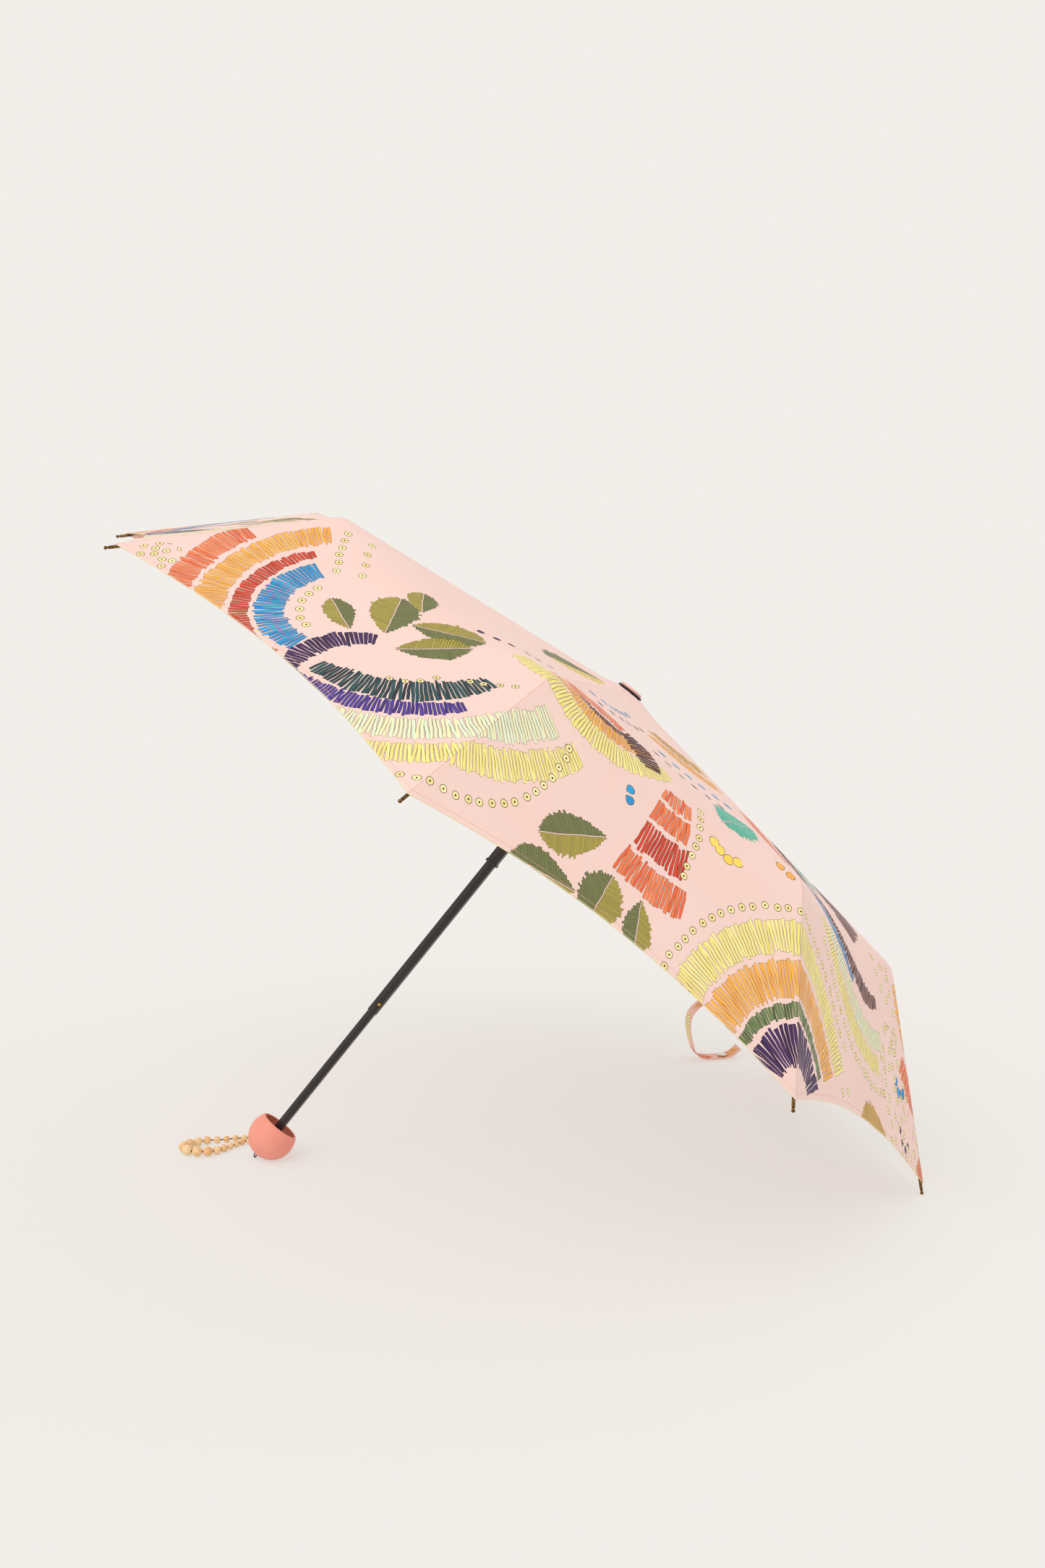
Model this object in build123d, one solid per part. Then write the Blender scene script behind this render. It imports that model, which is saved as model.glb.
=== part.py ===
from build123d import *
import os
from math import atan2, asin, cos, degrees, hypot, pi, radians, sin, sqrt, tan

os.makedirs("parts", exist_ok=True)

# A three-fold manual umbrella, open, lying on the floor on its ball handle and two rib tips.
# It is modelled upright first: the crown's datum is the origin, the shaft runs down -Z and an arm
# of ribs lies in the XZ plane.  "place" then tilts it onto the floor.  All lengths are millimetres.

# ---- overall sizes ----
arm_count = 8
rim_radius = 480.0          # shaft axis to the ball end of a rib tip
rim_drop = 186.0            # crown datum down to that ball end
shaft_length = 522.0        # crown datum down to the centre of the handle ball
ball_radius = 21.7

# ---- ribs: inner and middle rib lie in one line when open ----
inner_length = 165.0        # crown pivot to the first knee
middle_length = 165.0       # first knee to the second knee
top_slope = 7.8             # degrees that the open ribs drop
stretcher_reach = 88.0      # crown pivot to the stretcher's pivot, and the stretcher's own length
pivot_radius = 9.2          # shaft axis to the crown pivots and to the runner pivots
pivot_drop = 6.0            # crown datum down to the crown pivots
knee_1_lift = 1.3           # first knee's pin, above the ribs' centre lines
knee_2_sink = 1.1           # second knee's pin, below the middle rib's centre line
outer_lift = 1.1            # outer rod's centre line, above the second knee's pin
inner_width = 3.0
inner_height = 2.0
middle_width = 2.6
middle_height = 1.8
rod_radius = 0.8
rib_wall = 0.45
tongue_width = 1.2
cheek_wall = 0.4
pin_radius = 0.5
eye_radius = 1.15
tip_radius = 1.5
tip_sleeve_radius = 1.35
tip_sleeve_length = 13.0
tip_stand_out = 8.0         # rib tip's ball end beyond the hem

# ---- running clearances ----
pin_clearance = 0.07        # radial, round a pin
side_clearance = 0.2        # each side of a tongue or a rib
slide_clearance = 0.25      # each side of a tube in a tube

# ---- shaft ----
upper_flats = 10.4          # across flats of the six-sided tubes
middle_flats = 8.8
lower_flats = 7.4
tube_wall = 0.5
upper_bottom = 202.0        # below the crown datum
middle_bottom = 376.0
tube_overlap = 22.0         # of one tube in the next when drawn out
lip_flats = 12.0
lip_height = 2.6
detent_above_end = 10.0     # spring button's centre above the end of the tube that it locks
detent_radius = 1.7
detent_stand_out = 0.9

# ---- crown ----
crown_radius = 10.6
crown_top = -1.0
crown_plate = 3.2           # solid top of the crown, above the slots
crown_height = 8.6
slot_width = 1.8
slot_root = 6.7             # shaft axis to the bottom of a slot
wire_radius = 0.45
spigot_length = 5.0
washer_radius = 13.0
washer_thickness = 1.4
cap_radius = 11.35
cap_thickness = 2.5
stud_radius = 2.5

# ---- runner ----
runner_radius = 8.2
runner_head_radius = 10.8
runner_head_height = 6.4
runner_skirt = 16.3         # from the pivots down to the runner's lower end
button_half_width = 1.5
button_height = 7.0
button_drop = 10.0          # from the pivots down to the button's middle
button_stand_out = 1.3
button_travel = 1.0

# ---- handle ----
mouth_rise = 12.3           # plane of the bowl's mouth above the ball's centre
ball_wall = 1.6
plug_radius = 6.8
plug_top = 2.0              # above the ball's centre
tube_foot = 12.0            # end of the lower tube below the ball's centre
cord_hole_radius = 3.5
cross_pin_radius = 0.8
glue_gap = 0.03             # between the plug and the bowl

# ---- cover ----
cloth = 0.6                 # solid thickness that stands for the cloth and its slack
cloth_lift = 3.1            # inside of the cover above the ribs' centre lines
rim_lift = 2.1              # the same at the rim
bend_radius = 25.0          # of the cover over the second knees
hem_rise = 22.0             # how far the hem curves in between two ribs

# ---- closing strap and wrist loop ----
strap_width = 22.0
strap_thickness = 0.8
strap_arm = 1               # the gore it is sewn to lies between this arm and the next
strap_along_hem = -0.3018     # from the middle of the gore's hem to a rib tip
strap_hanging = [(-0.15, 0.9846), (-4.15, 0.8245), (-21.15, 0.7289), (-31.65, 0.5736), (-30.15, 0.3107)]
strap_lying = [(-22.15, 2.6), (0.85, 1.6), (16.85, 3.0), (25.85, 12.0)]
strap_bends = [10.0, 20.0, 12.0, 25.0, 6.0, 60.0, 8.0]
snap_radius = 5.0
snap_height = 1.2
snap_round = 0.5
snap_out = 7.85
snap_gap = 0.9
cord_radius = 0.6
small_bead = 3.0
large_bead = 5.2
bead_gap = 0.25
floor_gap = 0.1             # under each bead
bare_cord = 38.0            # from the handle to the first bead, at each end of the loop

# ------------------------------------------------------------------------------------------
# worked-out places

sector = 360.0 / arm_count
half_sector = sector / 2
slope = radians(top_slope)
arm_turns = [sector * (k - 0.5) for k in range(arm_count)]

# The second knee's pin, and the outer rod's length and angle that put its end at the rim.
knee_2_x = pivot_radius + (inner_length + middle_length) * cos(slope) - knee_2_sink * sin(slope)
knee_2_z = -pivot_drop - (inner_length + middle_length) * sin(slope) - knee_2_sink * cos(slope)
to_rim_x = rim_radius - knee_2_x
to_rim_z = -rim_drop - knee_2_z
outer_length = sqrt(to_rim_x**2 + to_rim_z**2 - outer_lift**2)
outer_drop = -degrees(atan2(to_rim_z, to_rim_x) - atan2(outer_lift, outer_length))

# The floor touches the ball and two neighbouring rib tips.
up_shaft = shaft_length - rim_drop
out_shaft = rim_radius * cos(radians(half_sector))
lean = degrees(atan2(out_shaft, up_shaft) + asin((tip_radius - ball_radius) / hypot(up_shaft, out_shaft)))
place = Location((0, 0, ball_radius)) * Rotation(0, 90 - lean, 0) * Location((0, 0, shaft_length))

runner_z = -pivot_drop - 2 * stretcher_reach * sin(slope)
runner_travel = 2 * stretcher_reach * (1 - sin(slope))
crown_bottom = crown_top - crown_height
middle_top = -(upper_bottom - tube_overlap)
lower_top = -(middle_bottom - tube_overlap)


def save(name, shape):
    export_step(place * shape, f"parts/{name}.step")


def turned(shape, angle):
    return Rotation(0, 0, angle) * shape


def block(x0, x1, z0, z1, y0, y1):
    """Box between two corners, in the plane of an arm."""
    return Pos((x0 + x1) / 2, (y0 + y1) / 2, (z0 + z1) / 2) * Box(x1 - x0, y1 - y0, z1 - z0)


def strip(x0, x1, z0, z1, width):
    """Box centred on the plane of an arm."""
    return block(x0, x1, z0, z1, -width / 2, width / 2)


def cross_pin(x, z, radius, width):
    """Cylinder square to the plane of an arm."""
    return Pos(x, 0, z) * Rotation(90, 0, 0) * Cylinder(radius, width)


def web_plate(points, width):
    """Flat plate of the given outline, centred on the plane of an arm."""
    outline = make_face(Polyline(*points, close=True))
    return extrude(Plane.XZ * outline, amount=width / 2, both=True)


def pair_of_cheeks(shape_of_width, inner, outer):
    """Two equal cheeks: a shape as wide as the fork, less the gap for the tongue."""
    return shape_of_width(2 * outer) - shape_of_width(2 * inner)


def rivet(x, z, radius, half_width):
    """Pin peened over outside its cheeks, so that it is one with them."""
    shank = cross_pin(x, z, radius, 2 * half_width)
    head = cross_pin(x, z, radius + 0.3, 0.25)
    return shank + [Pos(0, side * (half_width + 0.1), 0) * head for side in (-1, 1)]


def hexagon(flats, z0, z1):
    """Six-sided bar with flats facing +Y and -Y."""
    face = RegularPolygon(radius=flats / 2, side_count=6, major_radius=False, rotation=0)
    return Pos(0, 0, z0) * extrude(face, amount=z1 - z0)


def tube(flats, z0, z1):
    return hexagon(flats, z0, z1) - hexagon(flats - 2 * tube_wall, z0 - 1, z1 + 1)


def ring_groove(radius, height, thickness):
    return Pos(0, 0, height) * Torus(radius, thickness)


# ------------------------------------------------------------------------------------------
# arms

knee_fork = (tongue_width / 2 + side_clearance, tongue_width / 2 + side_clearance + cheek_wall)
bore = pin_radius + pin_clearance
stretcher_half = inner_width / 2 + side_clearance
body_start = 3.4            # a rib's full section begins this far from a knee


def inner_rib():
    """Channel open downwards, with a tongue at the crown and one at the first knee."""
    end = inner_length - body_start - 1.0
    h = inner_height / 2
    channel = strip(6.0, end, -h, h, inner_width)
    channel -= strip(6.0, end, -h, h - rib_wall, inner_width - 2 * rib_wall)
    crown_tongue = strip(0, 8.0, -0.8, h, tongue_width) + cross_pin(0, 0, eye_radius, tongue_width)
    knee = [(end - 3.0, -0.5), (end - 3.0, h), (end + 0.2, h), (inner_length - 0.5, knee_1_lift + 0.9),
            (inner_length + 0.4, knee_1_lift - 0.9), (end + 0.6, -0.5)]
    knee_tongue = web_plate(knee, tongue_width)
    knee_tongue += cross_pin(inner_length, knee_1_lift, eye_radius, tongue_width)
    rib = channel + crown_tongue + knee_tongue
    rib -= cross_pin(0, 0, wire_radius + 0.15, inner_width)
    rib -= cross_pin(inner_length, knee_1_lift, bore, inner_width)
    rib -= cross_pin(stretcher_reach, 0, bore, inner_width + 1)
    return rib


def stretcher():
    """Channel that straddles the inner rib, running on as a narrow tongue to the runner."""
    outer = stretcher_half + cheek_wall
    web_z = -inner_height / 2 - 1.2
    channel_end = stretcher_reach - 26.0
    web_from = 17.0

    def cheeks(width):
        side = strip(0, channel_end, web_z, 0.8, width)
        return side + cross_pin(0, 0, eye_radius + 0.1, width)

    body = pair_of_cheeks(cheeks, stretcher_half, outer)
    body += strip(web_from, channel_end, web_z, web_z + rib_wall, 2 * outer)
    body += strip(channel_end - 6, channel_end, web_z, web_z + 0.8, 2 * outer)
    joggle = [(channel_end - 1, web_z), (channel_end - 1, web_z + 0.9), (stretcher_reach - 8.0, web_z + 0.9),
              (stretcher_reach - 1.0, eye_radius - 0.2), (stretcher_reach, -eye_radius),
              (stretcher_reach - 7.0, web_z)]
    tongue = web_plate(joggle, tongue_width)
    tongue += cross_pin(stretcher_reach, 0, eye_radius, tongue_width)
    body += tongue
    body -= cross_pin(stretcher_reach, 0, wire_radius + 0.15, tongue_width + 1)
    return body + rivet(0, 0, pin_radius, outer)


def middle_rib():
    """Channel with a fork at the first knee and a tongue at the second."""
    end = middle_length - body_start - 1.0
    h = middle_height / 2
    inner, outer = knee_fork
    channel = strip(body_start, end, -h, h, middle_width)
    channel -= strip(body_start + 3.0, end, -h, h - rib_wall, middle_width - 2 * rib_wall)

    def fork(width):
        side = [(0.4, knee_1_lift + 0.95), (-0.4, knee_1_lift - 0.95), (body_start + 0.5, -h),
                (body_start + 0.5, h)]
        return web_plate(side, width) + cross_pin(0, knee_1_lift, eye_radius, width)

    knee = [(end - 3.0, 0.4), (end - 3.0, h), (end + 0.5, h), (middle_length + 0.4, -knee_2_sink + 0.9),
            (middle_length - 0.4, -knee_2_sink - 0.8), (end, -0.3)]
    knee_tongue = web_plate(knee, tongue_width)
    knee_tongue += cross_pin(middle_length, -knee_2_sink, eye_radius, tongue_width)
    rib = channel + pair_of_cheeks(fork, inner, outer) + knee_tongue
    rib -= cross_pin(middle_length, -knee_2_sink, bore, middle_width)
    return rib + rivet(0, knee_1_lift, pin_radius, outer)


def outer_rib():
    """Round rod held in a small fork; the rod's end goes into the rib tip."""
    inner, outer = knee_fork
    lift = outer_lift

    def fork(width):
        side = [(0.3, 0.95), (-0.4, -0.9), (3.4, lift - 0.85), (3.4, lift + 0.85)]
        return web_plate(side, width) + cross_pin(0, 0, eye_radius, width)

    rib = pair_of_cheeks(fork, inner, outer)
    rib += strip(2.9, 9.0, lift - 0.95, lift + 0.95, 2 * outer)
    rod = Rotation(0, 90, 0) * Cylinder(rod_radius, outer_length - 3.0 - 4.0)
    rib += Pos((outer_length - 3.0 + 4.0) / 2, 0, lift) * rod
    return rib + rivet(0, 0, pin_radius, outer)


def rib_tip():
    """Cast cap: a sleeve on the rod, a waist, and the ball end, which hooks the corner of the hem."""
    sleeve = Cylinder(tip_sleeve_radius, tip_sleeve_length, align=(Align.CENTER, Align.CENTER, Align.MAX))
    sleeve = Pos(0, 0, -2.5) * sleeve
    neck = Pos(0, 0, -2.0) * Cylinder(0.9, 2.4)
    cap = sleeve + neck + Sphere(tip_radius)
    rod_end = Cylinder(rod_radius, tip_sleeve_length, align=(Align.CENTER, Align.CENTER, Align.MAX))
    cap -= Pos(0, 0, -3.0) * rod_end
    return Pos(outer_length, 0, outer_lift) * Rotation(0, 90, 0) * cap


at_inner = Location((pivot_radius, 0, -pivot_drop)) * Rotation(0, top_slope, 0)
at_middle = at_inner * Location((inner_length, 0, 0))
at_outer = Location((knee_2_x, 0, knee_2_z)) * Rotation(0, outer_drop, 0)
at_stretcher = at_inner * Location((stretcher_reach, 0, 0)) * Rotation(0, 180 - 2 * top_slope, 0)

arm_pieces = {
    "inner_rib": at_inner * inner_rib(),
    "stretcher": at_stretcher * stretcher(),
    "middle_rib": at_middle * middle_rib(),
    "outer_rib": at_outer * outer_rib(),
    "rib_tip": at_outer * rib_tip(),
}
for number, turn in enumerate(arm_turns, 1):
    for name, piece in arm_pieces.items():
        save(f"{name}_{number}", turned(piece, turn))


# ------------------------------------------------------------------------------------------
# crown, cap and runner

def radial_slots(root, reach, z0, z1):
    """Slots for the tongues of the arms, from their root outwards."""
    slot = strip(root, reach, z0, z1, slot_width)
    return [turned(slot, turn) for turn in arm_turns]


crown = Pos(0, 0, crown_bottom) * Cylinder(crown_radius, crown_height, align=(Align.CENTER, Align.CENTER, Align.MIN))
for slot in radial_slots(slot_root, crown_radius + 1, crown_bottom - 1, crown_top - crown_plate):
    crown -= slot
crown -= ring_groove(pivot_radius, -pivot_drop, wire_radius)
spigot_flats = upper_flats - 2 * tube_wall - 0.04
crown += hexagon(spigot_flats, crown_bottom - spigot_length, crown_bottom)
stud_hole = Cylinder(stud_radius, 6.0, align=(Align.CENTER, Align.CENTER, Align.MAX))
crown -= Pos(0, 0, crown_top) * stud_hole
save("crown", crown)
save("crown_wire", ring_groove(pivot_radius, -pivot_drop, wire_radius))

washer_bottom = crown_top + cloth + 0.1
washer = Cylinder(washer_radius, washer_thickness, align=(Align.CENTER, Align.CENTER, Align.MIN))
washer = chamfer(washer.edges().sort_by(Axis.Z)[-1], 0.4)
washer -= Cylinder(stud_radius, 20)
save("cap_washer", Pos(0, 0, washer_bottom) * washer)

cap_bottom = washer_bottom + washer_thickness
cap = Cylinder(cap_radius, cap_thickness, align=(Align.CENTER, Align.CENTER, Align.MIN))
cap = fillet(cap.edges().sort_by(Axis.Z)[-1], 0.8)
stud_length = cap_bottom - crown_top + 5.8
cap += Cylinder(stud_radius, stud_length, align=(Align.CENTER, Align.CENTER, Align.MAX))
save("top_cap", Pos(0, 0, cap_bottom) * cap)

head_top = runner_z + runner_head_height / 2
runner_bottom = runner_z - runner_skirt
runner = Pos(0, 0, runner_bottom) * Cylinder(
    runner_radius, head_top - runner_bottom, align=(Align.CENTER, Align.CENTER, Align.MIN))
runner += Pos(0, 0, runner_z) * Cylinder(runner_head_radius, runner_head_height)
runner -= hexagon(upper_flats + 2 * slide_clearance, runner_bottom - 1, head_top + 1)
for slot in radial_slots(slot_root, runner_head_radius + 1, runner_bottom - 1, head_top + 1):
    runner -= slot
runner -= ring_groove(pivot_radius, runner_z, wire_radius)
button_z = runner_z - button_drop
button_reach = runner_radius + button_stand_out
tube_corner = upper_flats / 2 / cos(radians(30))
button_inside = tube_corner + button_travel + slide_clearance
window = block(0, button_reach, button_z - button_height / 2, button_z + button_height / 2,
               -button_half_width, button_half_width)
runner -= block(0, button_reach, button_z - button_height / 2 - 0.15, button_z + button_height / 2 + 0.15,
                -button_half_width - 0.15, button_half_width + 0.15)
save("runner", runner)

# The runner's wire is left only inside the fins: the stretchers' lower pivots stay open.
runner_wire = ring_groove(pivot_radius, runner_z, wire_radius)
for slot in radial_slots(slot_root, runner_head_radius + 1, runner_z - 2, runner_z + 2):
    runner_wire -= slot
save("runner_wire", runner_wire)

button = window & (Pos(0, 0, button_z) * Cylinder(button_reach, button_height))
button -= Pos(0, 0, button_z) * Cylinder(button_inside, button_height + 2)
save("runner_button", button)

# ------------------------------------------------------------------------------------------
# telescoping shaft

upper_tube = tube(upper_flats, -upper_bottom, crown_bottom)
upper_tube += hexagon(lip_flats, -upper_bottom, -upper_bottom + lip_height) - hexagon(
    upper_flats - 2 * tube_wall, -upper_bottom - 1, -upper_bottom + lip_height + 1)
middle_tube = tube(middle_flats, -middle_bottom, middle_top)
lower_tube = tube(lower_flats, -shaft_length - tube_foot, lower_top)

middle_detent_z = -upper_bottom + detent_above_end
lower_detent_z = -middle_bottom + detent_above_end
hole_radius = detent_radius + 0.2


def side_hole(z, side, reach):
    """Round hole through the flat that faces +Y or -Y."""
    return Pos(0, side * reach / 2, z) * Rotation(90, 0, 0) * Cylinder(hole_radius, reach)


def detent(z, side, own_flats, locked_flats):
    """Domed pin on a leaf spring inside the narrower tube; it locks the wider tube."""
    inside = own_flats / 2 - tube_wall
    reach = locked_flats / 2 + detent_stand_out
    shoulder = locked_flats / 2 - 0.3
    pin = Cylinder(detent_radius, shoulder - inside + 0.5, align=(Align.CENTER, Align.CENTER, Align.MIN))
    pin = Pos(0, 0, inside - 0.5) * pin
    dome_height = reach - shoulder
    dome_radius = (detent_radius**2 + dome_height**2) / (2 * dome_height)
    dome = Pos(0, 0, reach - dome_radius) * Sphere(dome_radius)
    dome &= Pos(0, 0, shoulder - 0.1) * Cylinder(
        detent_radius, dome_height + 1, align=(Align.CENTER, Align.CENTER, Align.MIN))
    knob = Rotation(-90 * side, 0, 0) * (pin + dome)
    leaf = Pos(0, side * (inside - 0.35), 3.3) * Box(2.4, 0.3, 11.4)
    return Pos(0, 0, z) * (knob + leaf)


upper_tube -= side_hole(middle_detent_z, 1, upper_flats)
middle_tube -= side_hole(middle_detent_z, 1, middle_flats)
middle_tube -= side_hole(lower_detent_z, -1, middle_flats)
lower_tube -= side_hole(lower_detent_z, -1, lower_flats)
save("upper_tube", upper_tube)
save("middle_tube", middle_tube)
save("middle_detent", detent(middle_detent_z, 1, middle_flats, upper_flats))
save("lower_detent", detent(lower_detent_z, -1, lower_flats, middle_flats))

# ------------------------------------------------------------------------------------------
# handle ball: a thin bowl that takes the folded rib tips, with a plug that holds the shaft

ball_z = -shaft_length
bowl = Sphere(ball_radius) - Sphere(ball_radius - ball_wall)
bowl -= Pos(0, 0, mouth_rise) * Box(60, 60, 60, align=(Align.CENTER, Align.CENTER, Align.MIN))
bowl = fillet(bowl.edges().filter_by(GeomType.CIRCLE).sort_by(Axis.Z)[-2:], 0.6)
cord_hole = Cylinder(cord_hole_radius, 30, align=(Align.CENTER, Align.CENTER, Align.MAX))
bowl -= cord_hole
save("handle_shell", Pos(0, 0, ball_z) * bowl)

plug = Pos(0, 0, plug_top) * Cylinder(plug_radius, 40, align=(Align.CENTER, Align.CENTER, Align.MAX))
plug &= Sphere(ball_radius - ball_wall - glue_gap)
plug -= hexagon(lower_flats, -tube_foot, plug_top + 1)
plug -= Pos(0, 0, -tube_foot - 1.0) * cord_hole
cross = Rotation(90, 0, 0) * Cylinder(cross_pin_radius, 2 * plug_radius)
pin_place = Pos(0, 0, -tube_foot / 2)
plug -= pin_place * cross
save("handle_plug", Pos(0, 0, ball_z) * plug)
save("handle_pin", Pos(0, 0, ball_z) * (pin_place * cross))
lower_tube -= Pos(0, 0, ball_z) * (pin_place * cross)
save("lower_tube", lower_tube)

# ------------------------------------------------------------------------------------------
# cover: eight gores, each curved one way only, hem curved in between the ribs

gore_ratio = cos(radians(half_sector))


def above_rib(distance, lift):
    """Point on the open inner and middle ribs' line, lifted square to it."""
    x = pivot_radius + distance * cos(slope) + lift * sin(slope)
    return x, -pivot_drop - distance * sin(slope) + lift * cos(slope)


outer_slope = radians(outer_drop)
hem_x = rim_radius - tip_stand_out * cos(outer_slope) + rim_lift * sin(outer_slope)
hem_z = -rim_drop + tip_stand_out * sin(outer_slope) + rim_lift * cos(outer_slope)
corner_x, corner_z = above_rib(inner_length + middle_length + 1.2, cloth_lift)
first_x, first_z = above_rib(24.0, cloth_lift)
past_hem = 0.05
end_x = hem_x + past_hem * (hem_x - corner_x)
end_z = hem_z + past_hem * (hem_z - corner_z)


def cover_profile(lift):
    """Section of the cover in the plane of a rib, from the crown to past the hem."""
    points = [(2.9, crown_top + 0.05), (crown_radius + 1.5, crown_top + 0.05), (first_x, first_z),
              (corner_x, corner_z), (end_x, end_z)]
    points = [(x * gore_ratio, z + lift) for x, z in points]
    line = FilletPolyline(points[1], points[2], points[3], points[4], radius=[12.0, bend_radius])
    return Polyline(points[0], points[1]) + line


lower_line = cover_profile(0)
upper_line = cover_profile(cloth)
close_in = Line(lower_line @ 0, upper_line @ 0)
close_out = Line(lower_line @ 1, upper_line @ 1)
section = make_face(Wire([*lower_line.edges(), close_out.edge(), *upper_line.edges(), close_in.edge()]))
gore = extrude(Plane.XZ * section, amount=rim_radius, both=True)
wedge = make_face(Polyline(
    (0, 0), (2 * rim_radius, 2 * rim_radius * tan(radians(half_sector))),
    (2 * rim_radius, -2 * rim_radius * tan(radians(half_sector))), close=True))
gore &= Pos(0, 0, -2 * rim_drop) * extrude(wedge, amount=4 * rim_drop)
chord = 2 * hem_x * sin(radians(half_sector))
hem_radius = (chord**2 / 4 + hem_rise**2) / (2 * hem_rise)
mid_slope = degrees(atan2(corner_z - hem_z, (hem_x - corner_x) * gore_ratio))
hem_place = Pos(hem_x * gore_ratio, 0, hem_z) * Rotation(0, mid_slope, 0)
hem_cut = Cylinder(hem_radius, 60)
hem_cut = Pos(hem_radius - hem_rise, 0, 0) * hem_cut
hem_cut &= Pos(-hem_rise - 1, 0, 0) * Box(hem_rise + 60, chord * 1.4, 70, align=(Align.MIN, Align.CENTER, Align.CENTER))
gore -= hem_place * hem_cut
gores = [turned(gore, turn + half_sector) for turn in arm_turns]
save("canopy", Compound(children=[solid for piece in gores for solid in piece.solids()]))


# ------------------------------------------------------------------------------------------
# closing strap: sewn to the hem of one gore, it hangs to the floor and curls there.
# Its route is on the floor frame: how far out from its place on the hem, then how high. The
# hanging part's heights are shares of the hem's own height there.

strap_aside = strap_along_hem * chord / 2
strap_rise = hem_rise - hem_radius + sqrt(hem_radius**2 - strap_aside**2)
strap_turn = Rotation(0, 0, arm_turns[strap_arm] + half_sector)
sewn_at = (place * strap_turn * hem_place * Pos(-strap_rise, strap_aside, 0)).position
hanging = [(sewn_at.X + out, sewn_at.Z * share) for out, share in strap_hanging]
lying = [(sewn_at.X + out, height) for out, height in strap_lying]
ribbon_line = FilletPolyline(*hanging, *lying, radius=strap_bends)
ribbon = trace(ribbon_line, line_width=strap_thickness)
ribbon = Pos(0, sewn_at.Y, 0) * extrude(Plane.XZ * ribbon, amount=strap_width / 2, both=True)
export_step(ribbon, "parts/closure_strap.step")
print("strap is sewn at", sewn_at)

# Press stud near the strap's free end, a socket above the cloth and its rivet below.
snap = Cylinder(snap_radius, snap_height, align=(Align.CENTER, Align.CENTER, Align.MIN))
snap = fillet(snap.edges().sort_by(Axis.Z)[-1], snap_round)
snap_place = ribbon.bounding_box().min.Z + 2 * strap_thickness + snap_gap
export_step(Pos(sewn_at.X + snap_out, sewn_at.Y, snap_place) * snap, "parts/strap_snap.step")

# Wrist loop: a cord that leaves the hole under the ball, lies round on the floor and goes back in.
loop_route = [
    (-10.6, -1.1, 8.7), (-15.9, -1.5, 2.1), (-16.4, 8.0, 1.0), (-14.6, 20.0, 1.2), (-13.8, 31.5, 1.9),
    (-16.0, 41.5, 2.8), (-23.5, 46.8, 3.2), (-31.5, 38.0, 3.2), (-40.0, 29.5, 3.5), (-48.0, 20.5, 4.1),
    (-57.0, 15.5, 4.8), (-67.0, 15.2, 5.3), (-77.0, 20.0, 5.4), (-80.5, 29.5, 5.3), (-76.0, 39.0, 5.0),
    (-68.0, 46.0, 4.6), (-59.0, 51.0, 4.1), (-50.0, 52.0, 3.6), (-40.5, 53.5, 3.2), (-30.0, 56.0, 3.2),
    (-19.0, 55.5, 3.2), (-9.0, 49.5, 2.6), (-5.6, 38.5, 1.8), (-6.4, 26.5, 1.2), (-9.4, 14.0, 1.0),
    (-14.0, 2.8, 3.2), (-10.6, 1.1, 8.7)]


def bend_radii(points):
    """The largest arc that each corner's two runs allow."""
    radii = []
    for before, here, after in zip(points, points[1:], points[2:]):
        run_in = Vector(*here) - Vector(*before)
        run_out = Vector(*after) - Vector(*here)
        turn = radians(run_in.get_angle(run_out))
        radii.append(0.45 * min(run_in.length, run_out.length) / tan(turn / 2))
    return radii


loop_radii = bend_radii(loop_route)
loop_line = FilletPolyline(*loop_route, radius=loop_radii)
loop_length = loop_line.length
cord = sweep(Plane(origin=loop_line @ 0, z_dir=loop_line % 0) * Circle(cord_radius), path=loop_line)
export_step(cord, "parts/bead_cord.step")
print("loop radii", [round(r, 1) for r in loop_radii])
print("loop length", round(loop_length, 1), "volume ratio", cord.volume / (loop_length * pi * cord_radius**2))


def bead_radius(distance):
    """Beads grow towards the middle of the loop."""
    half = loop_length / 2 - bare_cord
    share = 1 - abs(distance - loop_length / 2) / half
    return small_bead + (large_bead - small_bead) * min(1.0, max(0.0, share)) ** 0.8


def bead_places():
    """Distances along the loop, from its middle bead out to both ends."""
    places = [loop_length / 2]
    for way in (-1, 1):
        here = loop_length / 2
        while True:
            step = 2 * bead_radius(here)
            there = here + way * (bead_radius(here) + bead_radius(here + way * step) + bead_gap)
            if abs(there - loop_length / 2) > loop_length / 2 - bare_cord:
                break
            places.append(there)
            here = there
    return sorted(places)


beads = []
for distance in bead_places():
    centre = loop_line @ (distance / loop_length)
    along = loop_line % (distance / loop_length)
    radius = min(bead_radius(distance), centre.Z - floor_gap)
    seat = Plane(origin=centre, z_dir=along)
    beads.append(seat * (Sphere(radius) - Cylinder(cord_radius + 0.15, 3 * radius)))
print("beads", len(beads))
export_step(Compound(children=[solid for bead in beads for solid in bead.solids()]), "parts/beads.step")
print("lean", round(lean, 3), "outer length", round(outer_length, 2), "outer drop", round(outer_drop, 3))
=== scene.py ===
import bpy
import math
from mathutils import Matrix, Vector, noise


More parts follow.
